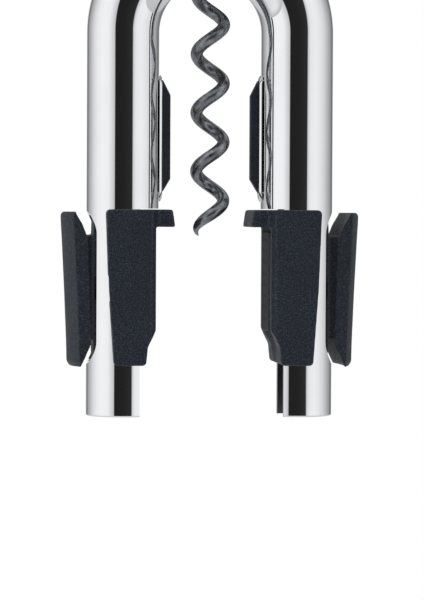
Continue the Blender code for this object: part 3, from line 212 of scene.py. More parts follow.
def inset_outline(outline, distance):
    """Moves each point of an outline inwards along the mean normal of its two edges."""
    points = [Vector(point) for point in outline]
    area = sum(a.cross(b) for a, b in zip(points, points[1:] + points[:1]))
    way = 1 if area > 0 else -1
    moved = []
    for i, point in enumerate(points):
        back = (point - points[i - 1]).normalized()
        ahead = (points[(i + 1) % len(points)] - point).normalized()
        normal = Vector((-back.y - ahead.y, back.x + ahead.x)).normalized() * way
        cosine = max(0.5, normal.dot(Vector((-back.y, back.x)) * way))
        moved.append(tuple(point + normal * distance / cosine))
    return moved


def ease(share):
    return share * share * (3 - 2 * share)


# -------- solids


def add_object(name, bm):
    bmesh.ops.recalc_face_normals(bm, faces=bm.faces)
    mesh = bpy.data.meshes.new(name)
    bm.to_mesh(mesh)
    bm.free()
    obj = bpy.data.objects.new(name, mesh)
    bpy.context.scene.collection.objects.link(obj)
    return obj


def along(axis, u, v, w):
    return {"X": (w, u, v), "Y": (u, w, v), "Z": (u, v, w)}[axis]


def loft(name, rings, closed=False):
    bm = bmesh.new()
    rows = [[bm.verts.new(point) for point in ring] for ring in rings]
    pairs = list(zip(rows, rows[1:]))
    if closed:
        pairs.append((rows[-1], rows[0]))
    else:
        bm.faces.new(rows[0])
        bm.faces.new(rows[-1])
    for first, second in pairs:
        for i in range(len(first)):
            j = (i + 1) % len(first)
            bm.faces.new((first[i], first[j], second[j], second[i]))
    return add_object(name, bm)


def prism(name, outline, axis, low, high):
    return loft(name, [[along(axis, u, v, place) for u, v in outline] for place in (low, high)])


def pillow(name, outline, axis, low, high, radius, steps=5):
    """A prism whose rims at both ends are rounded with the radius."""
    rims = [(radius * (1 - math.cos(turn)), radius * (1 - math.sin(turn))) for turn in quarter_turn(steps)]
    levels = [(low + depth, inset) for depth, inset in rims]
    levels += [(high - depth, inset) for depth, inset in reversed(rims)]
    rings = []
    for place, inset in levels:
        rings.append([along(axis, u, v, place) for u, v in inset_outline(outline, inset)])
    return loft(name, rings)


def box(name, low, high):
    outline = [(low[0], low[1]), (high[0], low[1]), (high[0], high[1]), (low[0], high[1])]
    return prism(name, outline, "Z", low[2], high[2])


def room(name, half_width, front, back, low, high):
    """A box with its middle on the plane x = 0."""
    return box(name, (-half_width, front, low), (half_width, back, high))


def side_span(sign, near, far):
    """The ends of a stretch along X on one side of the object, in rising order."""
    return sorted((sign * near, sign * far))


def quarter_turn(steps, first=0):
    """Angles of a rounded rim, from 0 to 90 degrees."""
    return [math.pi / 2 * step / steps for step in range(first, steps + 1)]


def turned(name, profile, centre, axis, sides=48, closed=False):
    """A round solid about an axis. The profile lists (radius, place along the axis)."""
    rings = []
    for radius, place in profile:
        ring = [polar(radius, 2 * math.pi * i / sides) for i in range(sides)]
        rings.append([Vector(along(axis, u, v, place)) + Vector(centre) for u, v in ring])
    return loft(name, rings, closed)


def rod(name, radius, low, high, centre, axis, sides=48):
    return turned(name, [(radius, low), (radius, high)], centre, axis, sides)


def sweep(name, path, radii, sides):
    path = [Vector(point) for point in path]
    ends = [path[0]] + path + [path[-1]]
    side = None
    rings = []
    for i, point in enumerate(path):
        tangent = (ends[i + 2] - ends[i]).normalized()
        if side is None:
            side = tangent.orthogonal().normalized()
        side = (side - tangent * side.dot(tangent)).normalized()
        other = tangent.cross(side)
        turns = [2 * math.pi * k / sides for k in range(sides)]
        offsets = [side * math.cos(t) + other * math.sin(t) for t in turns]
        rings.append([point + offset * radii[i] for offset in offsets])
    return loft(name, rings)


def coil(name, start, end, coil_radius, wire, turns, steps=20, sides=10):
    start = Vector(start)
    axis = Vector(end) - start
    length = axis.length
    axis.normalize()
    side = axis.orthogonal().normalized()
    other = axis.cross(side)
    count = int(turns * steps)
    path = []
    for i in range(count + 1):
        turn = 2 * math.pi * i / steps
        rise = wire + (length - 2 * wire) * i / count
        path.append(start + axis * rise + (side * math.cos(turn) + other * math.sin(turn)) * coil_radius)
    return sweep(name, path, [wire] * len(path), sides)


def apply_modifiers(obj):
    graph = bpy.context.evaluated_depsgraph_get()
    graph.update()
    mesh = bpy.data.meshes.new_from_object(obj.evaluated_get(graph))
    mesh.name = obj.name
    obj.modifiers.clear()
    obj.data = mesh
    return obj


def combine(target, operation, *others):
    for other in others:
        modifier = target.modifiers.new(other.name, "BOOLEAN")
        modifier.operation = operation
        modifier.solver = "EXACT"
        modifier.object = other
    apply_modifiers(target)
    for other in others:
        bpy.data.objects.remove(other, do_unlink=True)
    return target


def cut(target, *others):
    return combine(target, "DIFFERENCE", *others)


def join(target, *others):
    return combine(target, "UNION", *others)


def keep_common(target, *others):
    return combine(target, "INTERSECT", *others)


def bevel(obj, width, segments=3, angle=32):
    modifier = obj.modifiers.new("bevel", "BEVEL")
    modifier.width = width
    modifier.segments = segments
    modifier.limit_method = "ANGLE"
    modifier.angle_limit = math.radians(angle)
    modifier.use_clamp_overlap = True
    modifier.miter_outer = "MITER_ARC"
    return apply_modifiers(obj)


def remesh(obj, voxel, smoothing):
    """Rebuilds a moulded piece as an even mesh whose edges are slightly rounded."""
    modifier = obj.modifiers.new("remesh", "REMESH")
    modifier.mode = "VOXEL"
    modifier.voxel_size = voxel
    soft = obj.modifiers.new("soften", "SMOOTH")
    soft.factor = 0.5
    soft.iterations = smoothing
    return apply_modifiers(obj)


def finish_piece(obj, material, body, slot, *nodes, sharp=35.0):
    """Gives a piece its finish, its body and the nodes that it stands for."""
    mesh = obj.data
    mesh.materials.clear()
    mesh.materials.append(material)
    mesh.shade_smooth()
    if sharp:
        mesh.set_sharp_from_angle(angle=math.radians(sharp))
    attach(obj, body)
    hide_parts(*nodes)


# -------- materials


class Nodes:
    """Short calls for building a node tree."""

    def __init__(self, tree):
        self.tree = tree
        self.coordinates = self.add("ShaderNodeTexCoord")
        self.place = self.coordinates.outputs["Object"]

    def add(self, kind, **settings):
        node = self.tree.nodes.new(kind)
        for key, value in settings.items():
            setattr(node, key, value)
        return node

    def link(self, source, target):
        self.tree.links.new(source, target)

    def noise(self, scale, detail=2.0, roughness=0.5, stretch=None):
        node = self.add("ShaderNodeTexNoise")
        node.inputs["Scale"].default_value = scale
        node.inputs["Detail"].default_value = detail
        node.inputs["Roughness"].default_value = roughness
        source = self.place
        if stretch is not None:
            mapping = self.add("ShaderNodeMapping")
            mapping.inputs["Scale"].default_value = stretch
            self.link(self.place, mapping.inputs["Vector"])
            source = mapping.outputs["Vector"]
        self.link(source, node.inputs["Vector"])
        return node.outputs["Fac"]

    def cells(self, scale):
        node = self.add("ShaderNodeTexVoronoi", feature="F1")
        node.inputs["Scale"].default_value = scale
        self.link(self.place, node.inputs["Vector"])
        return node.outputs["Distance"]

    def ramp(self, source, stops):
        node = self.add("ShaderNodeValToRGB")
        ramp = node.color_ramp
        while len(ramp.elements) < len(stops):
            ramp.elements.new(1.0)
        for element, (position, colour) in zip(ramp.elements, stops):
            element.position = position
            element.color = (*colour, 1.0)
        self.link(source, node.inputs["Fac"])
        return node.outputs["Color"]

    def span(self, source, low, high, start=0.0, end=1.0):
        node = self.add("ShaderNodeMapRange")
        node.inputs["From Min"].default_value = start
        node.inputs["From Max"].default_value = end
        node.inputs["To Min"].default_value = low
        node.inputs["To Max"].default_value = high
        self.link(source, node.inputs["Value"])
        return node.outputs["Result"]

    def math(self, operation, first, second):
        node = self.add("ShaderNodeMath", operation=operation)
        for i, value in enumerate((first, second)):
            if isinstance(value, (int, float)):
                node.inputs[i].default_value = value
            else:
                self.link(value, node.inputs[i])
        return node.outputs["Value"]

    def mix(self, factor, first, second):
        node = self.add("ShaderNodeMix", data_type="RGBA")
        self.link(factor, node.inputs["Factor"])
        for key, value in (("A", first), ("B", second)):
            socket = [s for s in node.inputs if s.name == key and s.type == "RGBA"][0]
            if isinstance(value, tuple):
                socket.default_value = (*value, 1.0)
            else:
                self.link(value, socket)
        return [s for s in node.outputs if s.type == "RGBA"][0]

    def bump(self, height, strength, distance):
        node = self.add("ShaderNodeBump")
        node.inputs["Strength"].default_value = strength
        node.inputs["Distance"].default_value = distance
        self.link(height, node.inputs["Height"])
        return node.outputs["Normal"]


class MaterialNodes(Nodes):
    """The node tree of a new material."""

    def __init__(self, name):
        self.material = bpy.data.materials.new(name)
        self.material.use_nodes = True
        super().__init__(self.material.node_tree)
        self.shader = self.tree.nodes["Principled BSDF"]

    def set(self, **values):
        for key, value in values.items():
            socket = self.shader.inputs[key.replace("_", " ")]
            if isinstance(value, (int, float)):
                socket.default_value = value
            elif isinstance(value, tuple):
                socket.default_value = (*value, 1.0)
            else:
                self.link(value, socket)
        return self.material


def chrome_material():
    n = MaterialNodes("polished_chrome")
    smudge = n.noise(70, 3, 0.55)
    hairline = n.noise(900, 2, 0.6, (1.0, 1.0, 0.06))
    rough = n.math("ADD", n.span(smudge, 0.02, 0.055, 0.35, 0.7), n.span(hairline, 0.0, 0.012, 0.45, 0.7))
    wave = n.noise(45, 1, 0.4)
    normal = n.bump(wave, 0.10, 0.0002)
    colour = n.ramp(smudge, [(0.3, (0.90, 0.905, 0.915)), (0.75, (0.86, 0.865, 0.88))])
    return n.set(Base_Color=colour, Metallic=1.0, Roughness=rough, Normal=normal)


def grain_material(name, dark, light, rough=(0.34, 0.60), grain=3300, depth=0.00011):
    """Moulded plastic with a fine spark-eroded grain and faint polish on proud spots."""
    n = MaterialNodes(name)
    fine = n.noise(grain, 2, 0.65)
    coarse = n.noise(grain * 0.7, 2, 0.6)
    pits = n.cells(grain * 0.55)
    cloud = n.noise(90, 3, 0.6)
    height = n.math("ADD", fine, n.math("MULTIPLY", coarse, 0.8))
    height = n.math("ADD", height, n.math("MULTIPLY", pits, 0.5))
    peak = n.span(n.math("ADD", fine, n.span(coarse, -0.10, 0.10, 0.3, 0.7)), 0.0, 1.0, 0.46, 0.76)
    tone = n.mix(peak, dark, light)
    dull = n.mix(n.span(cloud, 0.0, 0.35, 0.4, 0.7), tone, tuple(0.75 * c for c in dark))
    gloss = n.span(fine, *rough, 0.7, 0.35)
    roughness = n.math("ADD", gloss, n.span(cloud, -0.03, 0.05, 0.3, 0.7))
    normal = n.bump(height, 0.7, depth)
    return n.set(Base_Color=dull, Roughness=roughness, Normal=normal, Specular_IOR_Level=0.38)


def rubber_material(name, colour, rough=0.5):
    n = MaterialNodes(name)
    fine = n.noise(1500, 3, 0.6)
    cloud = n.noise(120, 2, 0.5)
    tone = n.mix(n.span(cloud, 0.0, 1.0, 0.35, 0.7), colour, tuple(1.6 * c for c in colour))
    roughness = n.span(fine, rough - 0.06, rough + 0.08, 0.3, 0.7)
    return n.set(Base_Color=tone, Roughness=roughness, Normal=n.bump(fine, 0.2, 0.00005))


def coated_material():
    """Satin non-stick coating over steel, mottled where it is thin."""
    n = MaterialNodes("coated_steel")
    cloud = n.noise(520, 4, 0.66)
    fine = n.noise(1400, 3, 0.6)
    spots = n.noise(700, 2, 0.5)
    stops = [(0.22, (0.11, 0.12, 0.145)), (0.52, (0.22, 0.23, 0.245)), (0.82, (0.46, 0.465, 0.465))]
    tone = n.ramp(cloud, stops)
    rough = n.math("ADD", n.span(cloud, 0.22, 0.32, 0.7, 0.3), n.span(fine, -0.05, 0.06, 0.3, 0.7))
    metal = n.span(spots, 0.8, 1.0, 0.4, 0.65)
    height = n.math("ADD", fine, n.math("MULTIPLY", cloud, 1.5))
    return n.set(Base_Color=tone, Metallic=metal, Roughness=rough, Normal=n.bump(height, 0.16, 0.00006))


def steel_material(name, colour, rough=0.28, metal=1.0):
    n = MaterialNodes(name)
    turning = n.noise(1100, 2, 0.6, (0.15, 1.0, 1.0))
    cloud = n.noise(150, 3, 0.6)
    tone = n.mix(n.span(cloud, 0.0, 1.0, 0.3, 0.75), colour, tuple(0.8 * c for c in colour))
    brushed = n.span(turning, rough - 0.06, rough + 0.08, 0.35, 0.65)
    roughness = n.math("ADD", brushed, n.span(cloud, 0, 0.06))
    normal = n.bump(turning, 0.18, 0.00004)
    return n.set(Base_Color=tone, Metallic=metal, Roughness=roughness, Normal=normal)


def nylon_material():
    n = MaterialNodes("nylon")
    cloud = n.noise(140, 3, 0.55)
    fine = n.noise(1800, 2, 0.5)
    tone = n.mix(n.span(cloud, 0.0, 1.0, 0.3, 0.7), (0.76, 0.745, 0.70), (0.68, 0.66, 0.60))
    roughness = n.span(fine, 0.34, 0.48, 0.3, 0.7)
    material = n.set(Base_Color=tone, Roughness=roughness, Normal=n.bump(fine, 0.2, 0.00004))
    n.shader.inputs["Subsurface Weight"].default_value = 0.15
    n.shader.inputs["Subsurface Scale"].default_value = 0.001
    return material


def floor_material():
    n = MaterialNodes("pale_floor")
    cloud = n.noise(3, 3, 0.5)
    tone = n.mix(cloud, (0.72, 0.72, 0.725), (0.69, 0.69, 0.695))
    return n.set(Base_Color=tone, Roughness=0.85)


CHROME = chrome_material()
PLASTIC = grain_material("textured_plastic", (0.005, 0.008, 0.014), (0.056, 0.078, 0.112))
GRIP_PLASTIC = grain_material("grip_plastic", (0.006, 0.009, 0.014), (0.046, 0.062, 0.088))
UPPER_DARK = (0.006, 0.008, 0.013)
UPPER_LIGHT = (0.032, 0.041, 0.060)
HEAD_PLASTIC = grain_material("head_plastic", UPPER_DARK, UPPER_LIGHT, (0.38, 0.55), 2200)
HANDLE_PLASTIC = grain_material("handle_plastic", UPPER_DARK, UPPER_LIGHT, (0.42, 0.6), 2000)
RUBBER = rubber_material("rubber", (0.008, 0.010, 0.016), 0.42)
COATED = coated_material()
STEEL = steel_material("steel", (0.58, 0.585, 0.59))
# The bore's dark colour is painted shade for the inside of the tube.
BORE = steel_material("bore_painted_shade", (0.10, 0.10, 0.105), 0.42, 0.7)
ALLOY = steel_material("alloy", (0.66, 0.665, 0.68), 0.36)
BRONZE = steel_material("bronze", (0.62, 0.43, 0.22), 0.34)
NYLON = nylon_material()


# -------- frame tube


def frame_rings(radius, low, ends=()):
    """Rings of the bent tube, from the foot of the left leg over the crown to the foot of the right one.

    ends lists (height, change of radius) of the rings that round the foot of each leg.
    """
    stations = [(Vector((-LEG_OFFSET, 0, low)), Vector((-1, 0, 0)), radius)]
    if ends:
        stations = [(Vector((-LEG_OFFSET, 0, z)), Vector((-1, 0, 0)), radius + d) for z, d in ends]
    leg_steps = 40
    start = stations[-1][0].z
    for i in range(1, leg_steps):
        z = start + (LEG_HEIGHT - start) * i / leg_steps
        stations.append((Vector((-LEG_OFFSET, 0, z)), Vector((-1, 0, 0)), radius))
    centre = Vector((0, 0, LEG_HEIGHT))
    for i in range(ARCH_STEPS + 1):
        turn = math.pi - math.pi * i / ARCH_STEPS
        outward = Vector((math.cos(turn), 0, math.sin(turn)))
        stations.append((centre + outward * LEG_OFFSET, outward, radius))
    for place, outward, size in reversed(stations[: len(stations) - ARCH_STEPS - 1]):
        stations.append((Vector((-place.x, 0, place.z)), -outward, size))
    rings = []
    for place, outward, size in stations:
        turns = [2 * math.pi * k / TUBE_SIDES for k in range(TUBE_SIDES)]
        offsets = [outward * math.cos(t) + Vector((0, math.sin(t), 0)) for t in turns]
        rings.append([place + offset * size for offset in offsets])
    return rings


def tube_axis_point(point):
    if point.z <= LEG_HEIGHT:
        return Vector((math.copysign(LEG_OFFSET, point.x), 0, point.z))
    outward = Vector((point.x, 0, point.z - LEG_HEIGHT)).normalized()
    return Vector((0, 0, LEG_HEIGHT)) + outward * LEG_OFFSET


def paint_bore(obj):
    """The inside of the tube is duller than the plated outside, and its dark colour is painted shade."""
    mesh = obj.data
    mesh.materials.append(BORE)
    near = 0.1 * MM
    for face in mesh.polygons:
        out = face.center - tube_axis_point(face.center)
        if out.length < TUBE_BORE + near:
            face.material_index = 1


def set_tube_normals(obj):
    """Gives the tube's round faces the normals of the true round surface, so that reflections run clean."""
    mesh = obj.data
    near = 0.08 * MM
    straight = 0.98
    normals = []
    for face in mesh.polygons:
        out = face.center - tube_axis_point(face.center)
        facing = face.normal.dot(out.normalized())
        outer = abs(out.length - TUBE_RADIUS) < near and facing > straight
        inner = abs(out.length - TUBE_BORE) < near and facing < -straight
        for corner in face.loop_indices:
            point = mesh.vertices[mesh.loops[corner].vertex_index].co
            radial = (point - tube_axis_point(point)).normalized()
            if outer:
                normals.append(radial)
            elif inner:
                normals.append(-radial)
            else:
                normals.append(face.normal)
    mesh.normals_split_custom_set(normals)


def make_frame_tube():
    soft = 0.45 * MM
    wide = 11 * MM
    cut_top = JAW_TOP + 0.2 * MM
    ends = [(soft * (1 - math.cos(turn)), -soft * (1 - math.sin(turn))) for turn in quarter_turn(6, 1)]
    tube = loft("frame_tube_fine", frame_rings(TUBE_RADIUS, 0, [(0, -soft)] + ends))
    cutters = [loft("c_bore", frame_rings(TUBE_BORE, -1 * MM))]
    cutters.append(room("c_open", LEG_CUT, -wide, wide, -2 * MM, cut_top))
    cutters.append(prism("c_slot", obround(*SLOT, 24), "X", -35 * MM, 35 * MM))
    cutters.append(rod("c_crown", CROWN_HOLE, 96 * MM, 132 * MM, ORIGIN, "Z", 64))
    for sign in (-1, 1):
        centre = (sign * PIN_OFFSET, 0, PIN_HEIGHT)
        cutters.append(rod("c_pin", GUIDE_PIN_BORE, -wide, wide, centre, "Y", 32))
        wall = side_span(sign, 10.5 * MM, LEG_OFFSET)
        cutters.append(prism("c_pad", obround(*PAD_WINDOW), "X", *wall))
    cut(tube, *cutters)
    finish_piece(tube, CHROME, "frame", "chrome", "frame_tube", sharp=None)
    set_tube_normals(tube)
    paint_bore(tube)


# -------- cork pads


BEZEL_LEVELS = (
    # (depth past the leg's inner side, half width, lower end, upper end), in mm
    (-0.7, 2.1, 52.9, 82.1),
    (-0.6, 2.25, 52.6, 82.3),
    (-0.05, 2.5, 51.5, 83.2),
    (3, 2.5, 51.5, 83.2),
)


def leg_seat(sign):
    """The round of a leg with its clearance, which is cut from what lies against the leg."""
    return rod("c_seat", TUBE_RADIUS + CLEARANCE, 40 * MM, LEG_HEIGHT, (sign * LEG_OFFSET, 0, 0), "Z", 96)


def make_cork_pad(side, sign):
    root = LEG_INNER + 1.6 * MM
    lip = LEG_INNER - 0.9 * MM
    land = LEG_INNER - 2.75 * MM
    edge = 0.3 * MM
    outline = rounded([
        (root, PAD_LOW, 0),
        (lip, PAD_LOW, edge),
        (land, PAD_PLUG[1], 0.5 * MM),
        (land, PAD_PLUG[2], 0.5 * MM),
        (lip, PAD_HIGH, edge),
        (root, PAD_HIGH, 0),
    ], 5)
    wide = PAD_HALF_WIDTH
    pad = pillow(f"cork_pad_{side}_fine", mirrored(outline, sign), "Y", -wide, wide, edge)
    cut(pad, leg_seat(sign))
    plug = side_span(sign, LEG_INNER - 1.4 * MM, LEG_INNER + 2.1 * MM)
    join(pad, prism("j_plug", obround(*PAD_PLUG), "X", *plug))
    finish_piece(pad, RUBBER, "frame", "rubber", f"cork_pad_{side}")


def make_pad_bezel(side, sign):
    rings = []
    for depth, half, low, high in BEZEL_LEVELS:
        ring = obround(half * MM, low * MM, high * MM, 24)
        rings.append([(sign * (LEG_INNER + depth * MM), y, z) for y, z in ring])
    bezel = loft(f"pad_bezel_{side}_fine", rings)
    half, low, high = PAD_HALF_WIDTH + CLEARANCE, PAD_LOW - CLEARANCE, PAD_HIGH + CLEARANCE
    corners = [(-half, low), (half, low), (half, high), (-half, high)]
    hole = rounded([(y, z, 0.3 * MM) for y, z in corners], 4)
    through = side_span(sign, LEG_INNER - 3 * MM, LEG_OFFSET)
    cut(bezel, leg_seat(sign), prism("c_hole", hole, "X", *through))
    finish_piece(bezel, CHROME, "frame", "chrome", f"pad_bezel_{side}")


# -------- jaws and grips


def jaw_profile():
    top, low, inner = JAW_TOP, JAW_BOTTOM, JAW_INNER
    edge = 1.0 * MM
    return rounded([
        (9.8 * MM, top, 0.6 * MM),
        (9.2 * MM, HOOK_UNDERSIDE, 0),
        (9.2 * MM, low + 14 * MM, 0),
        (inner, low + 8.4 * MM, 3 * MM),
        (inner + 2.0 * MM, low + 4.5 * MM, 3 * MM),
        (inner + 2.4 * MM, low, edge),
        (24.0 * MM, low, edge),
        (25.3 * MM, (low + top) / 2, 60 * MM),
        (26.0 * MM, top, edge),
    ], 8)


def jaw_plan():
    inner, reach = 8.2 * MM, 33 * MM
    half = rounded([
        (reach, JAW_DEPTH, 0),
        (14.8 * MM, JAW_DEPTH, 0.8 * MM),
        (13.3 * MM, HOOK_DEPTH, 0.8 * MM),
        (inner, HOOK_DEPTH, 0),
        (inner, 0, 0),
        (reach, 0, 0),
    ], 4)
    half = [point for point in half if point[1] > 0.01 * MM]
    return half + [(x, -y) for x, y in reversed(half)]


def jaw_recess(sign):
    """The round hollow for the bottle's neck, as a cutter."""
    half = math.degrees(math.acos(JAW_INNER / RECESS_RADIUS))
    past = 20 * MM
    recess = [(-1 * MM, -past), (JAW_INNER, -past)]
    recess += arc((0, 0), RECESS_RADIUS, -half, half, 40)
    recess += [(JAW_INNER, past), (-1 * MM, past)]
    return prism("c_recess", mirrored(recess, sign), "Z", -1 * MM, HOOK_UNDERSIDE)


def make_jaw(side, sign):
    jaw = prism(f"jaw_{side}_fine", mirrored(jaw_profile(), sign), "Y", -JAW_DEPTH, JAW_DEPTH)
    near, far = side_span(sign, LEG_CUT - CLEARANCE, 30 * MM)
    wide = CHANNEL_HALF_WIDTH
    cut(jaw, box("c_channel", (near, -wide, -1 * MM), (far, wide, LEG_HEIGHT)))
    join(jaw, prism("j_filler", obround(*FILLER), "X", *side_span(sign, LEG_CUT - 2 * MM, 28.6 * MM)))
    near, far = side_span(sign, 27 * MM, STEM_END)
    join(jaw, box("j_stem", (near, -STEM_HALF_WIDTH, STEM_LOW), (far, STEM_HALF_WIDTH, STEM_HIGH)))
    cut(jaw, jaw_recess(sign))
    keep_common(jaw, prism("k_plan", mirrored(jaw_plan(), sign), "Z", 0, 60 * MM))
    near, far = side_span(sign, 18.4 * MM, 28.0 * MM)
    cut(jaw, box("c_room", (near, -11.5 * MM, 28.15 * MM), (far, 11.5 * MM, 33.85 * MM)))
    for height in SCREW_HEIGHTS:
        centre = (0, 0, height)
        bore = rod("c_bore", SCREW_BORE, *side_span(sign, 12.9 * MM, 32.2 * MM), centre, "X", 32)
        seat = rod("c_head", SCREW_SEAT, *side_span(sign, 12.9 * MM, 18.7 * MM), centre, "X", 40)
        cut(jaw, bore, seat)
    remesh(jaw, 0.24 * MM, 9)
    finish_piece(jaw, PLASTIC, f"{side}_clamp", "textured_plastic", f"jaw_{side}", sharp=None)


GRIP_LEVELS = (
    # (share of the height, outer face, inner face at the middle, inner face at the edges), in mm
    (0.0, 2.05, 0.6, -0.1),
    (0.03, 2.75, 0.3, -0.7),
    (0.15, 2.85, 0.0, -2.7),
    (0.48, 3.35, 0.0, -2.25),
    (0.83, 4.0, 0.0, -1.8),
    (0.92, 4.2, 0.5, -0.5),
    (0.98, 4.3, 1.1, 0.9),
    (1.0, 3.8, 1.3, 1.2),
)


def grip_ring(height, apex, middle, edge, sign, steps=26):
    outer, inner = [], []
    for i in range(steps + 1):
        share = -1 + 2 * i / steps
        y = GRIP_DEPTH * share
        x_inner = middle - (middle - edge) * share**2
        x_outer = max(apex - 2.5 * MM * share**2, x_inner + 0.4 * MM)
        outer.append((sign * x_outer, y, height))
        inner.append((sign * x_inner, y, height))
    return outer + inner[::-1]


def make_grip(side, sign):
    rings = []
    for (first, *low), (last, *high) in zip(GRIP_LEVELS, GRIP_LEVELS[1:]):
        steps = max(2, int((last - first) * 30))
        for i in range(steps):
            share = i / steps
            values = [GRIP_INNER + (a + (b - a) * share) * MM for a, b in zip(low, high)]
            rings.append((first + (last - first) * share, values))
    rings.append((1.0, [GRIP_INNER + v * MM for v in GRIP_LEVELS[-1][1:]]))
    span = GRIP_HIGH - GRIP_LOW
    grip = loft(f"grip_{side}_fine", [grip_ring(GRIP_LOW + span * s, *v, sign) for s, v in rings])
    ends = side_span(sign, 28 * MM, GRIP_INNER + 2.4 * MM)
    cut(grip, *[rod("c_bore", SCREW_BORE, *ends, (0, 0, height), "X", 32) for height in SCREW_HEIGHTS])
    remesh(grip, 0.22 * MM, 8)
    finish_piece(grip, GRIP_PLASTIC, f"{side}_clamp", "textured_plastic", f"grip_{side}", sharp=None)
    grip.visible_glossy = False


def make_liner(side, sign):
    inside = arc((0, 0), LINER_INNER, -LINER_ANGLE, LINER_ANGLE, 40)
    outside = arc((0, 0), LINER_OUTER, LINER_ANGLE, -LINER_ANGLE, 40)
    outline = mirrored(inside + outside, sign)
    liner = pillow(f"neck_liner_{side}_fine", outline, "Z", LINER_LOW, LINER_HIGH, 0.3 * MM)
    groove = LINER_INNER + 0.25 * MM
    grooves = []
    for i in range(8):
        z = (23.2 + 2.75 * i) * MM
        grooves.append(rod("c_rib", groove, z, z + 0.8 * MM, ORIGIN, "Z", 96))
    cut(liner, *grooves)
    finish_piece(liner, RUBBER, f"{side}_clamp", "rubber", f"neck_liner_{side}")


def make_jaw_spring(side, sign):
    start = sign * 22.0 * MM
    end = sign * 27.7 * MM
    radius, wire, turns = 2.2 * MM, 0.35 * MM, 4
    ends = ((start, 0, PIN_HEIGHT), (end, 0, PIN_HEIGHT))
    spring = coil(f"jaw_spring_{side}_fine", *ends, radius, wire, turns)
    finish_piece(spring, STEEL, "frame", "steel", f"jaw_spring_{side}")
    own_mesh(spring)


# -------- worm


def worm_point(height, radius=WORM_RADIUS):
    turn = 2 * math.pi * (height - WORM_PHASE_HEIGHT) / WORM_PITCH
    return Vector((radius * math.cos(turn), radius * math.sin(turn), height))


# (rise, radius) of the shank in mm: its collar under the carriage, and its end above with the clip's groove
WORM_COLLAR = ((0, 2.2), (0.15, 2.5), (0.6, 2.5), (0.7, 4.0), (0.9, 4.2), (1.9, 4.2), (2.1, 4.0), (2.2, 2.5))
WORM_TOP = ((0.8, 2.5), (0.9, 1.8), (2.2, 1.8), (2.3, 2.4), (3.3, 2.5), (3.6, 2.2))


def make_worm():
    point = 0.12 * MM
    taper = WORM_PITCH * 0.42
    step = WORM_PITCH / 44
    top = CARRIAGE_LOW - 9.5 * MM
    count = int((top - WORM_TIP) / step)
    path, radii = [], []
    for i in range(count + 1):
        height = WORM_TIP + step * i
        share = min(1.0, (height - WORM_TIP) / taper)
        path.append(worm_point(height))
        radii.append(point + (WORM_WIRE - point) * math.sin(share * math.pi / 2) ** 0.85)
    last = path[-1].z
    bend_rise, bend_steps = 4.7 * MM, 16
    for i in range(1, bend_steps + 1):
        share = i / bend_steps
        inward = WORM_RADIUS * (1 + math.cos(math.pi * share)) / 2
        path.append(worm_point(last + bend_rise * share, inward))
        radii.append(WORM_WIRE)
    for start, levels in ((CARRIAGE_LOW - 4.2 * MM, WORM_COLLAR), (CARRIAGE_HIGH, WORM_TOP)):
        for rise, radius in levels:
            path.append(Vector((0, 0, start + rise * MM)))
            radii.append(radius * MM)
    worm = sweep("worm_fine", path, radii, 28)
    finish_piece(worm, COATED, "worm_unit", "coated_steel", "worm", sharp=50)


# -------- head


def head_outline():
    """The head's side view, with a bulge around the gear that runs from the back to the underside."""
    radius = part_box("head_shell_left")[1].y - PIVOT.y
    high, low = 50, -60
    rise, low_end = math.radians(high), math.radians(low)
    high_point = (PIVOT.y + radius * math.cos(rise), PIVOT.z + radius * math.sin(rise))
    shoulder = high_point[1] + (high_point[0] - HEAD_BACK) * math.cos(rise) / math.sin(rise)
    low_point = (PIVOT.y + radius * math.cos(low_end), PIVOT.z + radius * math.sin(low_end))
    heel = low_point[0] + (low_point[1] - HEAD_BOTTOM) * math.sin(low_end) / math.cos(low_end)
    soft = 9 * MM
    outline = rounded([
        (HEAD_FRONT, HEAD_BOTTOM, 3 * MM),
        (HEAD_FRONT, HEAD_TOP, soft),
        (HEAD_BACK, HEAD_TOP, soft),
        (HEAD_BACK, shoulder, 0),
        (*high_point, 0),
        (*low_point, 0),
        (heel, HEAD_BOTTOM, 0),
    ], 12)
    bulge = arc((PIVOT.y, PIVOT.z), radius, high, low, 48)
    return outline[:-3] + bulge + outline[-1:]


def head_screws():
    nodes = [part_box(f"head_screw_{i}") for i in range(1, 5)]
    return [((low.y + high.y) / 2, (low.z + high.z) / 2) for low, high in nodes]


def head_rings(sign):
    """Rings from the eased joint face, 0.15 mm off the middle, to the rounded rim of the side."""
    outline = head_outline()
    edge = 2.2 * MM
    levels = [(0.15 * MM, 0.25 * MM), (0.3 * MM, 0.08 * MM), (0.5 * MM, 0)]
    for turn in quarter_turn(8):
        levels.append((HEAD_HALF_WIDTH - edge * (1 - math.sin(turn)), edge * (1 - math.cos(turn))))
    return [[(sign * x, y, z) for y, z in inset_outline(outline, inset)] for x, inset in levels]


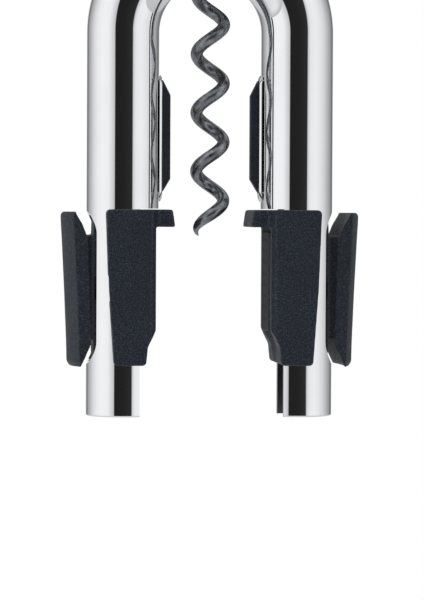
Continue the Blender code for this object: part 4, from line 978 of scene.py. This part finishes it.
def head_cutters(sign):
    """The hollows of the head. Only the right half has seats for the screws' heads."""
    back = 17.8 * MM
    button_low, button_high = BUTTON_HEIGHT - 2.3 * MM, BUTTON_HEIGHT + 2.3 * MM
    cutters = [
        room("c_room", 10.7 * MM, -8.2 * MM, back, 130.4 * MM, HEAD_TOP - 5 * MM),
        rod("c_gear", 21 * MM, -10.2 * MM, 10.2 * MM, tuple(PIVOT), "X", 72),
        room("c_rack", 4.3 * MM, 9 * MM, back, 99 * MM, 132 * MM),
        room("c_pawl", 11.2 * MM, -10 * MM, 9.2 * MM, RATCHET_LOW - CLEARANCE, RATCHET_TOP),
        rod("c_bush", 8.8 * MM, 114 * MM, RATCHET_LOW, ORIGIN, "Z"),
        rod("c_nut", CROWN_HOLE, 99 * MM, 116 * MM, ORIGIN, "Z"),
        rod("c_worm", 5.6 * MM, 128 * MM, 132 * MM, ORIGIN, "Z"),
        loft("c_crown", frame_rings(TUBE_RADIUS + 0.35 * MM, 80 * MM)),
        rod("c_pivot", 6.1 * MM, -15 * MM, 15 * MM, tuple(PIVOT), "X", 64),
        room("c_button", 2.3 * MM, -14 * MM, -8.5 * MM, button_low, button_high),
    ]
    for y, z in head_screws():
        cutters.append(rod("c_screw", HEAD_SCREW_BORE, -11 * MM, 14 * MM, (0, y, z), "X", 32))
        if sign > 0:
            cutters.append(rod("c_sink", HEAD_SCREW_SINK, 11 * MM, 14 * MM, (0, y, z), "X", 48))
    return cutters


def make_head_shell(side, sign):
    shell = loft(f"head_shell_{side}_fine", head_rings(sign))
    cut(shell, *head_cutters(sign))
    cut(shell, panel_groove(sign))
    finish_piece(shell, HEAD_PLASTIC, "frame", "head_plastic", f"head_shell_{side}", sharp=28)


def panel_groove(sign):
    """A shallow groove that follows the head's side at an even distance from its edge, as a cutter."""
    outline = head_outline()
    outer = inset_outline(outline, 3.6 * MM)
    inner = inset_outline(outline, 4.3 * MM)
    ends = side_span(sign, HEAD_HALF_WIDTH - GROOVE_DEPTH, HEAD_HALF_WIDTH + 1 * MM)
    ring = prism("c_groove", outer, "X", *ends)
    return cut(ring, prism("c_core", inner, "X", ends[0] - 1 * MM, ends[1] + 1 * MM))


def make_head_screw(index, y, z):
    low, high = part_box(f"head_screw_{index}")
    head, neck, tip = high.x, high.x - 1.4 * MM, low.x
    rim, shank = 2.8 * MM, 1.5 * MM
    profile = [(1.9 * MM, head), (2.45 * MM, head - 0.15 * MM), (rim, head - 0.5 * MM), (rim, neck)]
    profile += [(shank, neck), (shank, tip + 0.5 * MM), (1.1 * MM, tip)]
    screw = turned(f"head_screw_{index}_fine", profile, (0, y, z), "X", 48)
    long, thin = 1.7 * MM, 0.28 * MM
    first = 20 + 37 * index
    for turn in (first, first + 90):
        bar = box("c_slot", (head - 0.75 * MM, -long, -thin), (head + 1 * MM, long, thin))
        bar.data.transform(Matrix.Translation((0, y, z)) @ Matrix.Rotation(math.radians(turn), 4, "X"))
        cut(screw, bar)
    finish_piece(screw, STEEL, "frame", "steel", f"head_screw_{index}")


def make_pivot_bush(side, sign):
    barrel, flange, chamfer = 5.8 * MM, 8.0 * MM, 0.1 * MM
    inside, face, end = sign * 10.4 * MM, sign * 13.2 * MM, sign * 13.6 * MM
    profile = [(SHAFT_BORE, inside), (barrel, inside), (barrel, face), (flange - chamfer, face)]
    profile += [(flange, face + sign * chamfer), (flange, end - sign * chamfer)]
    profile += [(flange - chamfer, end), (SHAFT_BORE, end)]
    bush = turned(f"pivot_bush_{side}_fine", profile, tuple(PIVOT), "X", 64, closed=True)
    finish_piece(bush, NYLON, "frame", "nylon", f"pivot_bush_{side}")


def button_cap(low, height):
    """The button's cap as rings, with a rounded front edge."""
    half_width, half_height, edge = 4.5 * MM, 4 * MM, 0.7 * MM
    corners = [(-1, -1), (1, -1), (1, 1), (-1, 1)]
    outline = rounded([(u * half_width, height + v * half_height, 2 * MM) for u, v in corners], 10)
    rings = []
    for turn in quarter_turn(6):
        place = low + edge * (1 - math.cos(turn))
        rings.append([(u, place, v) for u, v in inset_outline(outline, edge * (1 - math.sin(turn)))])
    rings.append([(u, low + BUTTON_CAP, v) for u, v in outline])
    return rings


def make_button():
    low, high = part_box("lock_button")
    height = (low.z + high.z) / 2
    cap_front, cap_back = low.y, low.y + BUTTON_CAP
    stem, tongue = 2 * MM, 1.2 * MM
    button = loft("lock_button_fine", button_cap(cap_front, height))
    join(button, room("j_stem", stem, cap_back - 1 * MM, -10.3 * MM, height - stem, height + stem))
    join(button, room("j_tongue", 0.75 * MM, -11.3 * MM, high.y, height - tongue, height + tongue))
    groove = 0.3 * MM
    grooves = []
    for i in range(-1, 2):
        z = height + 1.7 * MM * i
        front, back = cap_front - 1 * MM, cap_front + groove
        grooves.append(room("c_rib", 2.6 * MM, front, back, z - groove, z + groove))
    cut(button, *grooves)
    finish_piece(button, HEAD_PLASTIC, "lock_button_unit", "head_plastic", "lock_button")


def make_button_spring():
    low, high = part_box("lock_button")
    height = (low.z + high.z) / 2
    start, end = low.y + BUTTON_CAP + 0.1 * MM, HEAD_FRONT - 0.1 * MM
    radius, wire, turns = 3.4 * MM, 0.22 * MM, 2
    spring = coil("button_spring_fine", (0, start, height), (0, end, height), radius, wire, turns, 28, 10)
    finish_piece(spring, STEEL, "frame", "steel", "button_spring")
    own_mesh(spring)


def make_pawl_spring():
    node = frame["nodes"]["pawl_spring"]
    spring = bpy.data.objects.new("pawl_spring_fine", node.data.copy())
    bpy.context.scene.collection.objects.link(spring)
    finish_piece(spring, STEEL, "frame", "steel", "pawl_spring")
    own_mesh(spring)


# -------- lever


def lever_matrix():
    return Matrix.Translation(PIVOT) @ Matrix.Rotation(LEVER_REST, 4, "X")


def handle_matrix():
    bend = Matrix.Translation((0, ARM_LENGTH + BRIDGE / 2, 0)) @ Matrix.Rotation(LEVER_KINK, 4, "X")
    return lever_matrix() @ bend


def fork_side_view():
    half = 5.0 * MM
    tang_start, tang_half = 5 * MM, 3 * MM
    hub = arc((0, 0), 9 * MM, 70, 290, 56)
    bend = Vector((ARM_LENGTH + BRIDGE / 2, 0))
    reach = Vector((math.cos(LEVER_KINK), math.sin(LEVER_KINK)))
    across = Vector((-reach.y, reach.x)) * tang_half
    corners = ((tang_start, -1), (TANG_LENGTH, -1), (TANG_LENGTH, 1), (tang_start, 1))
    tang = [tuple(bend + reach * length + across * way) for length, way in corners]
    lower = [(ARM_LENGTH + BRIDGE * 0.8, -half * 0.9)]
    upper = [(ARM_LENGTH + BRIDGE * 0.3, half * 1.2)]
    return hub + lower + tang + upper


def fork_plan():
    """The fork seen along its thickness: two arms, the bridge between them and the tang."""
    far, past = ARM_LENGTH + BRIDGE, 14 * MM
    end = far + TANG_LENGTH
    inner, outer, tang = ARM_INNER, ARM_OUTER, TANG_HALF_WIDTH
    return rounded([
        (-outer, -past, 0),
        (-inner, -past, 0),
        (-inner, ARM_LENGTH, 2 * MM),
        (inner, ARM_LENGTH, 2 * MM),
        (inner, -past, 0),
        (outer, -past, 0),
        (outer, far, 4 * MM),
        (tang, far + 2 * MM, 0),
        (tang, end, 0),
        (-tang, end, 0),
        (-tang, far + 2 * MM, 0),
        (-outer, far, 4 * MM),
    ], 10)


def make_fork():
    wide = 20 * MM
    fork = prism("lever_fork_fine", fork_side_view(), "X", -wide, wide)
    keep_common(fork, prism("k_plan", fork_plan(), "Z", -100 * MM, 100 * MM))
    bore = rod("c_bore", SHAFT_BORE, -wide, wide, ORIGIN, "X", 64)
    hole = rod("c_hole", SCREW_BORE, -10 * MM, 10 * MM, (0, HANDLE_SCREW_PLACE, 0), "Z", 32)
    hole.data.transform(lever_matrix().inverted() @ handle_matrix())
    cut(fork, bore, hole)
    bevel(fork, 0.45 * MM, 3)
    fork.data.transform(lever_matrix())
    finish_piece(fork, CHROME, "lever", "chrome", "lever_fork", sharp=24)


def handle_ring(place, half_width, half_height, drop, count=56):
    """A ring between an ellipse and a rectangle."""
    power = 0.7
    ring = []
    for i in range(count):
        turn = 2 * math.pi * (i + 0.5) / count
        x = half_width * math.copysign(abs(math.cos(turn)) ** power, math.cos(turn))
        z = half_height * math.copysign(abs(math.sin(turn)) ** power, math.sin(turn))
        ring.append((x, place, z + drop))
    return ring


HANDLE_SECTIONS = (
    # (place in mm, share of the half width, share of the half height, drop in mm)
    (0.0, 0.60, 0.62, 0.0),
    (0.4, 0.66, 0.70, 0.0),
    (1.5, 0.72, 0.76, 0.0),
    (21.0, 0.86, 0.92, 0.0),
    (48.0, 1.0, 1.0, 0.6),
    (75.0, 0.94, 0.94, 0.0),
    (88.0, 0.89, 0.86, -0.45),
    (92.0, 0.86, 0.80, -0.6),
    (94.4, 0.78, 0.69, -0.75),
    (95.5, 0.66, 0.55, -0.8),
    (96.0, 0.48, 0.38, -0.8),
)


def handle_section(place):
    for first, last in zip(HANDLE_SECTIONS, HANDLE_SECTIONS[1:]):
        if place <= last[0]:
            length = last[0] - first[0]
            share = (place - first[0]) / length
            if length > 10:
                share = ease(share) * 0.6 + share * 0.4
            return [a + (b - a) * share for a, b in zip(first[1:], last[1:])]
    return list(HANDLE_SECTIONS[-1][1:])


def handle_groove(start, offset):
    """A cutter that follows the handle's section all round, offset from the handle's start."""
    half, reach = 0.35 * MM, 20 * MM
    place = start + offset
    wide, tall, drop = handle_section((place - start) / MM)
    half_width = HANDLE_HALF_WIDTH * wide - GROOVE_DEPTH
    half_height = HANDLE_HALF_HEIGHT * tall - GROOVE_DEPTH
    ring = handle_ring(place, half_width, half_height, drop * MM)
    slab = box("c_slab", (-reach, place - half, -reach), (reach, place + half, reach))
    core = loft("c_core", [[(x, y + shift, z) for x, y, z in ring] for shift in (-1 * MM, 1 * MM)])
    return cut(slab, core)


def make_handle():
    start = BRIDGE / 2 + 4.5 * MM
    places = [0.0, 0.4, 0.9, 1.5] + [1.5 + 1.2 * i for i in range(1, 73)]
    places += [88.6, 90, 91, 92, 93, 93.8, 94.4, 95, 95.5, 95.8, 96]
    rings = []
    for place in places:
        wide, tall, drop = handle_section(place)
        size = (HANDLE_HALF_WIDTH * wide, HANDLE_HALF_HEIGHT * tall)
        rings.append(handle_ring(start + place * MM, *size, drop * MM))
    handle = loft("lever_handle_fine", rings)
    socket_width, socket_height = TANG_HALF_WIDTH + CLEARANCE, 3.3 * MM
    socket_end = TANG_LENGTH + 3 * MM
    socket = room("c_socket", socket_width, start - 5 * MM, socket_end, -socket_height, socket_height)
    underside = -12 * MM
    centre = (0, HANDLE_SCREW_PLACE, 0)
    bore = rod("c_bore", SCREW_BORE, underside, 5.8 * MM, centre, "Z", 32)
    head = rod("c_head", SCREW_SEAT, underside, -HANDLE_HALF_HEIGHT * 0.62, centre, "Z", 40)
    cut(handle, socket, bore, head)
    cut(handle, *[handle_groove(start, (60 + 5.5 * i) * MM) for i in range(5)])
    handle.data.transform(handle_matrix())
    finish_piece(handle, HANDLE_PLASTIC, "lever", "handle_plastic", "lever_handle", sharp=28)


def make_shaft_cap(side, sign):
    low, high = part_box(f"shaft_cap_{side}")
    near, far = (high.x, low.x) if sign < 0 else (low.x, high.x)
    rim, dome, chamfer, seat = 6.8 * MM, 1.6 * MM, 0.2 * MM, 1.6 * MM
    tip = 0.02 * MM
    profile = [(rim - chamfer, near), (rim, near + sign * chamfer), (rim, far - sign * dome)]
    for turn in quarter_turn(8, 1):
        profile.append((rim * math.cos(turn) + tip, far - sign * dome * (1 - math.sin(turn))))
    cap = turned(f"shaft_cap_{side}_fine", profile, tuple(PIVOT), "X", 72)
    ends = sorted((near - sign * 1 * MM, near + sign * seat))
    cut(cap, rod("c_seat", SHAFT_BORE, *ends, tuple(PIVOT), "X", 48))
    finish_piece(cap, CHROME, "lever", "chrome", f"shaft_cap_{side}", sharp=40)


# -------- nodes that keep their own mesh

KEPT = {
    "steel": STEEL,
    "alloy": ALLOY,
    "bronze": BRONZE,
    "nylon": NYLON,
}


def paint_kept_nodes():
    slots = {part["node"]: part["material_slot"] for part in frame["record"]["subparts"]}
    for name, node in frame["nodes"].items():
        if node.hide_render:
            continue
        for slot in node.material_slots:
            slot.link = "OBJECT"
            slot.material = KEPT[slots[name]]


# -------- light, floor and camera


# (degrees to the right of the front, tone) of the studio's walls
WALL_TONES = (
    (-180, 0.60), (-156, 0.16), (-143, 0.36), (-128, 0.52), (-110, 0.76), (-92, 0.93), (-72, 1.0),
    (-50, 0.96), (-40, 0.78), (-30, 0.60), (-28.2, 0.016), (0, 0.018), (26.6, 0.028), (29, 0.66),
    (38, 0.90), (56, 0.95), (72, 0.88), (92, 0.72), (105, 0.56), (118, 0.43), (130, 0.33), (146, 0.14),
    (180, 0.60),
)
OVERHEAD_COLOUR = (0.86, 0.87, 0.88)


def studio_colour(n):
    """The walls by the direction around the object, which give way to the overhead colour higher up."""
    parts = n.add("ShaderNodeSeparateXYZ")
    n.link(n.coordinates.outputs["Generated"], parts.inputs["Vector"])
    turn = n.math("ARCTAN2", parts.outputs["X"], n.math("MULTIPLY", parts.outputs["Y"], -1))
    share = n.span(turn, 0.0, 1.0, -math.pi, math.pi)
    walls = n.ramp(share, [(degrees / 360 + 0.5, (tone, tone, tone * 1.01)) for degrees, tone in WALL_TONES])
    overhead = n.span(parts.outputs["Z"], 0.0, 1.0, 0.40, 0.75)
    overhead.node.interpolation_type = "SMOOTHSTEP"
    return n.mix(overhead, walls, OVERHEAD_COLOUR)


def make_world():
    """A studio all round: bright walls to the left and right, and a dark opening in front.

    The studio lights the object and shows in its reflections. The background itself is plain white.
    """
    world = bpy.data.worlds.new("studio")
    bpy.context.scene.world = world
    world.use_nodes = True
    world.node_tree.nodes.clear()
    n = Nodes(world.node_tree)
    lit = n.add("ShaderNodeBackground")
    n.link(studio_colour(n), lit.inputs["Color"])
    white = n.add("ShaderNodeBackground")
    white.inputs["Color"].default_value = (1, 1, 1, 1)
    seen = n.add("ShaderNodeLightPath")
    chosen = n.add("ShaderNodeMixShader")
    n.link(seen.outputs["Is Camera Ray"], chosen.inputs["Fac"])
    n.link(lit.outputs["Background"], chosen.inputs[1])
    n.link(white.outputs["Background"], chosen.inputs[2])
    output = n.add("ShaderNodeOutputWorld")
    n.link(chosen.outputs["Shader"], output.inputs["Surface"])


def add_light(name, place, size):
    """A soft light that doesn't show in the reflections."""
    light = bpy.data.lights.new(name, "AREA")
    light.shape = "RECTANGLE"
    light.size, light.size_y = size
    light.energy = LIGHT_POWER
    obj = bpy.data.objects.new(name, light)
    obj.location = place
    obj.rotation_mode = "QUATERNION"
    obj.rotation_quaternion = (LIGHT_TARGET - Vector(place)).to_track_quat("-Z", "Y")
    obj.visible_glossy = False
    bpy.context.scene.collection.objects.link(obj)


def make_stage():
    bm = bmesh.new()
    turns = [2 * math.pi * i / 96 for i in range(96)]
    bm.faces.new([bm.verts.new((*polar(FLOOR_RADIUS, turn), FLOOR_HEIGHT)) for turn in turns])
    floor = add_object("floor", bm)
    floor.data.materials.append(floor_material())
    for name, (place, size) in LIGHTS.items():
        add_light(name, place, size)


def make_camera():
    camera = bpy.data.cameras.new("camera")
    camera.lens = CAMERA_LENS
    camera.sensor_width = CAMERA_SENSOR
    camera.clip_start = 0.05
    camera.clip_end = 20
    obj = bpy.data.objects.new("camera", camera)
    bpy.context.scene.collection.objects.link(obj)
    obj.location = CAMERA_PLACE
    obj.rotation_mode = "QUATERNION"
    roll = Matrix.Rotation(CAMERA_ROLL, 3, "Z").to_quaternion()
    obj.rotation_quaternion = (CAMERA_TARGET - CAMERA_PLACE).to_track_quat("-Z", "Y") @ roll
    bpy.context.scene.camera = obj


# -------- assembly


def main():
    make_frame_tube()
    for side, sign in SIDES:
        make_cork_pad(side, sign)
        make_pad_bezel(side, sign)
        make_jaw(side, sign)
        make_grip(side, sign)
        make_liner(side, sign)
        make_jaw_spring(side, sign)
        make_head_shell(side, sign)
        make_pivot_bush(side, sign)
        make_shaft_cap(side, sign)
    make_worm()
    for index, (y, z) in enumerate(head_screws(), 1):
        make_head_screw(index, y, z)
    make_button()
    make_button_spring()
    make_pawl_spring()
    make_fork()
    make_handle()
    paint_kept_nodes()
    make_world()
    make_stage()
    make_camera()
    bpy.context.scene.view_settings.view_transform = "Standard"


main()
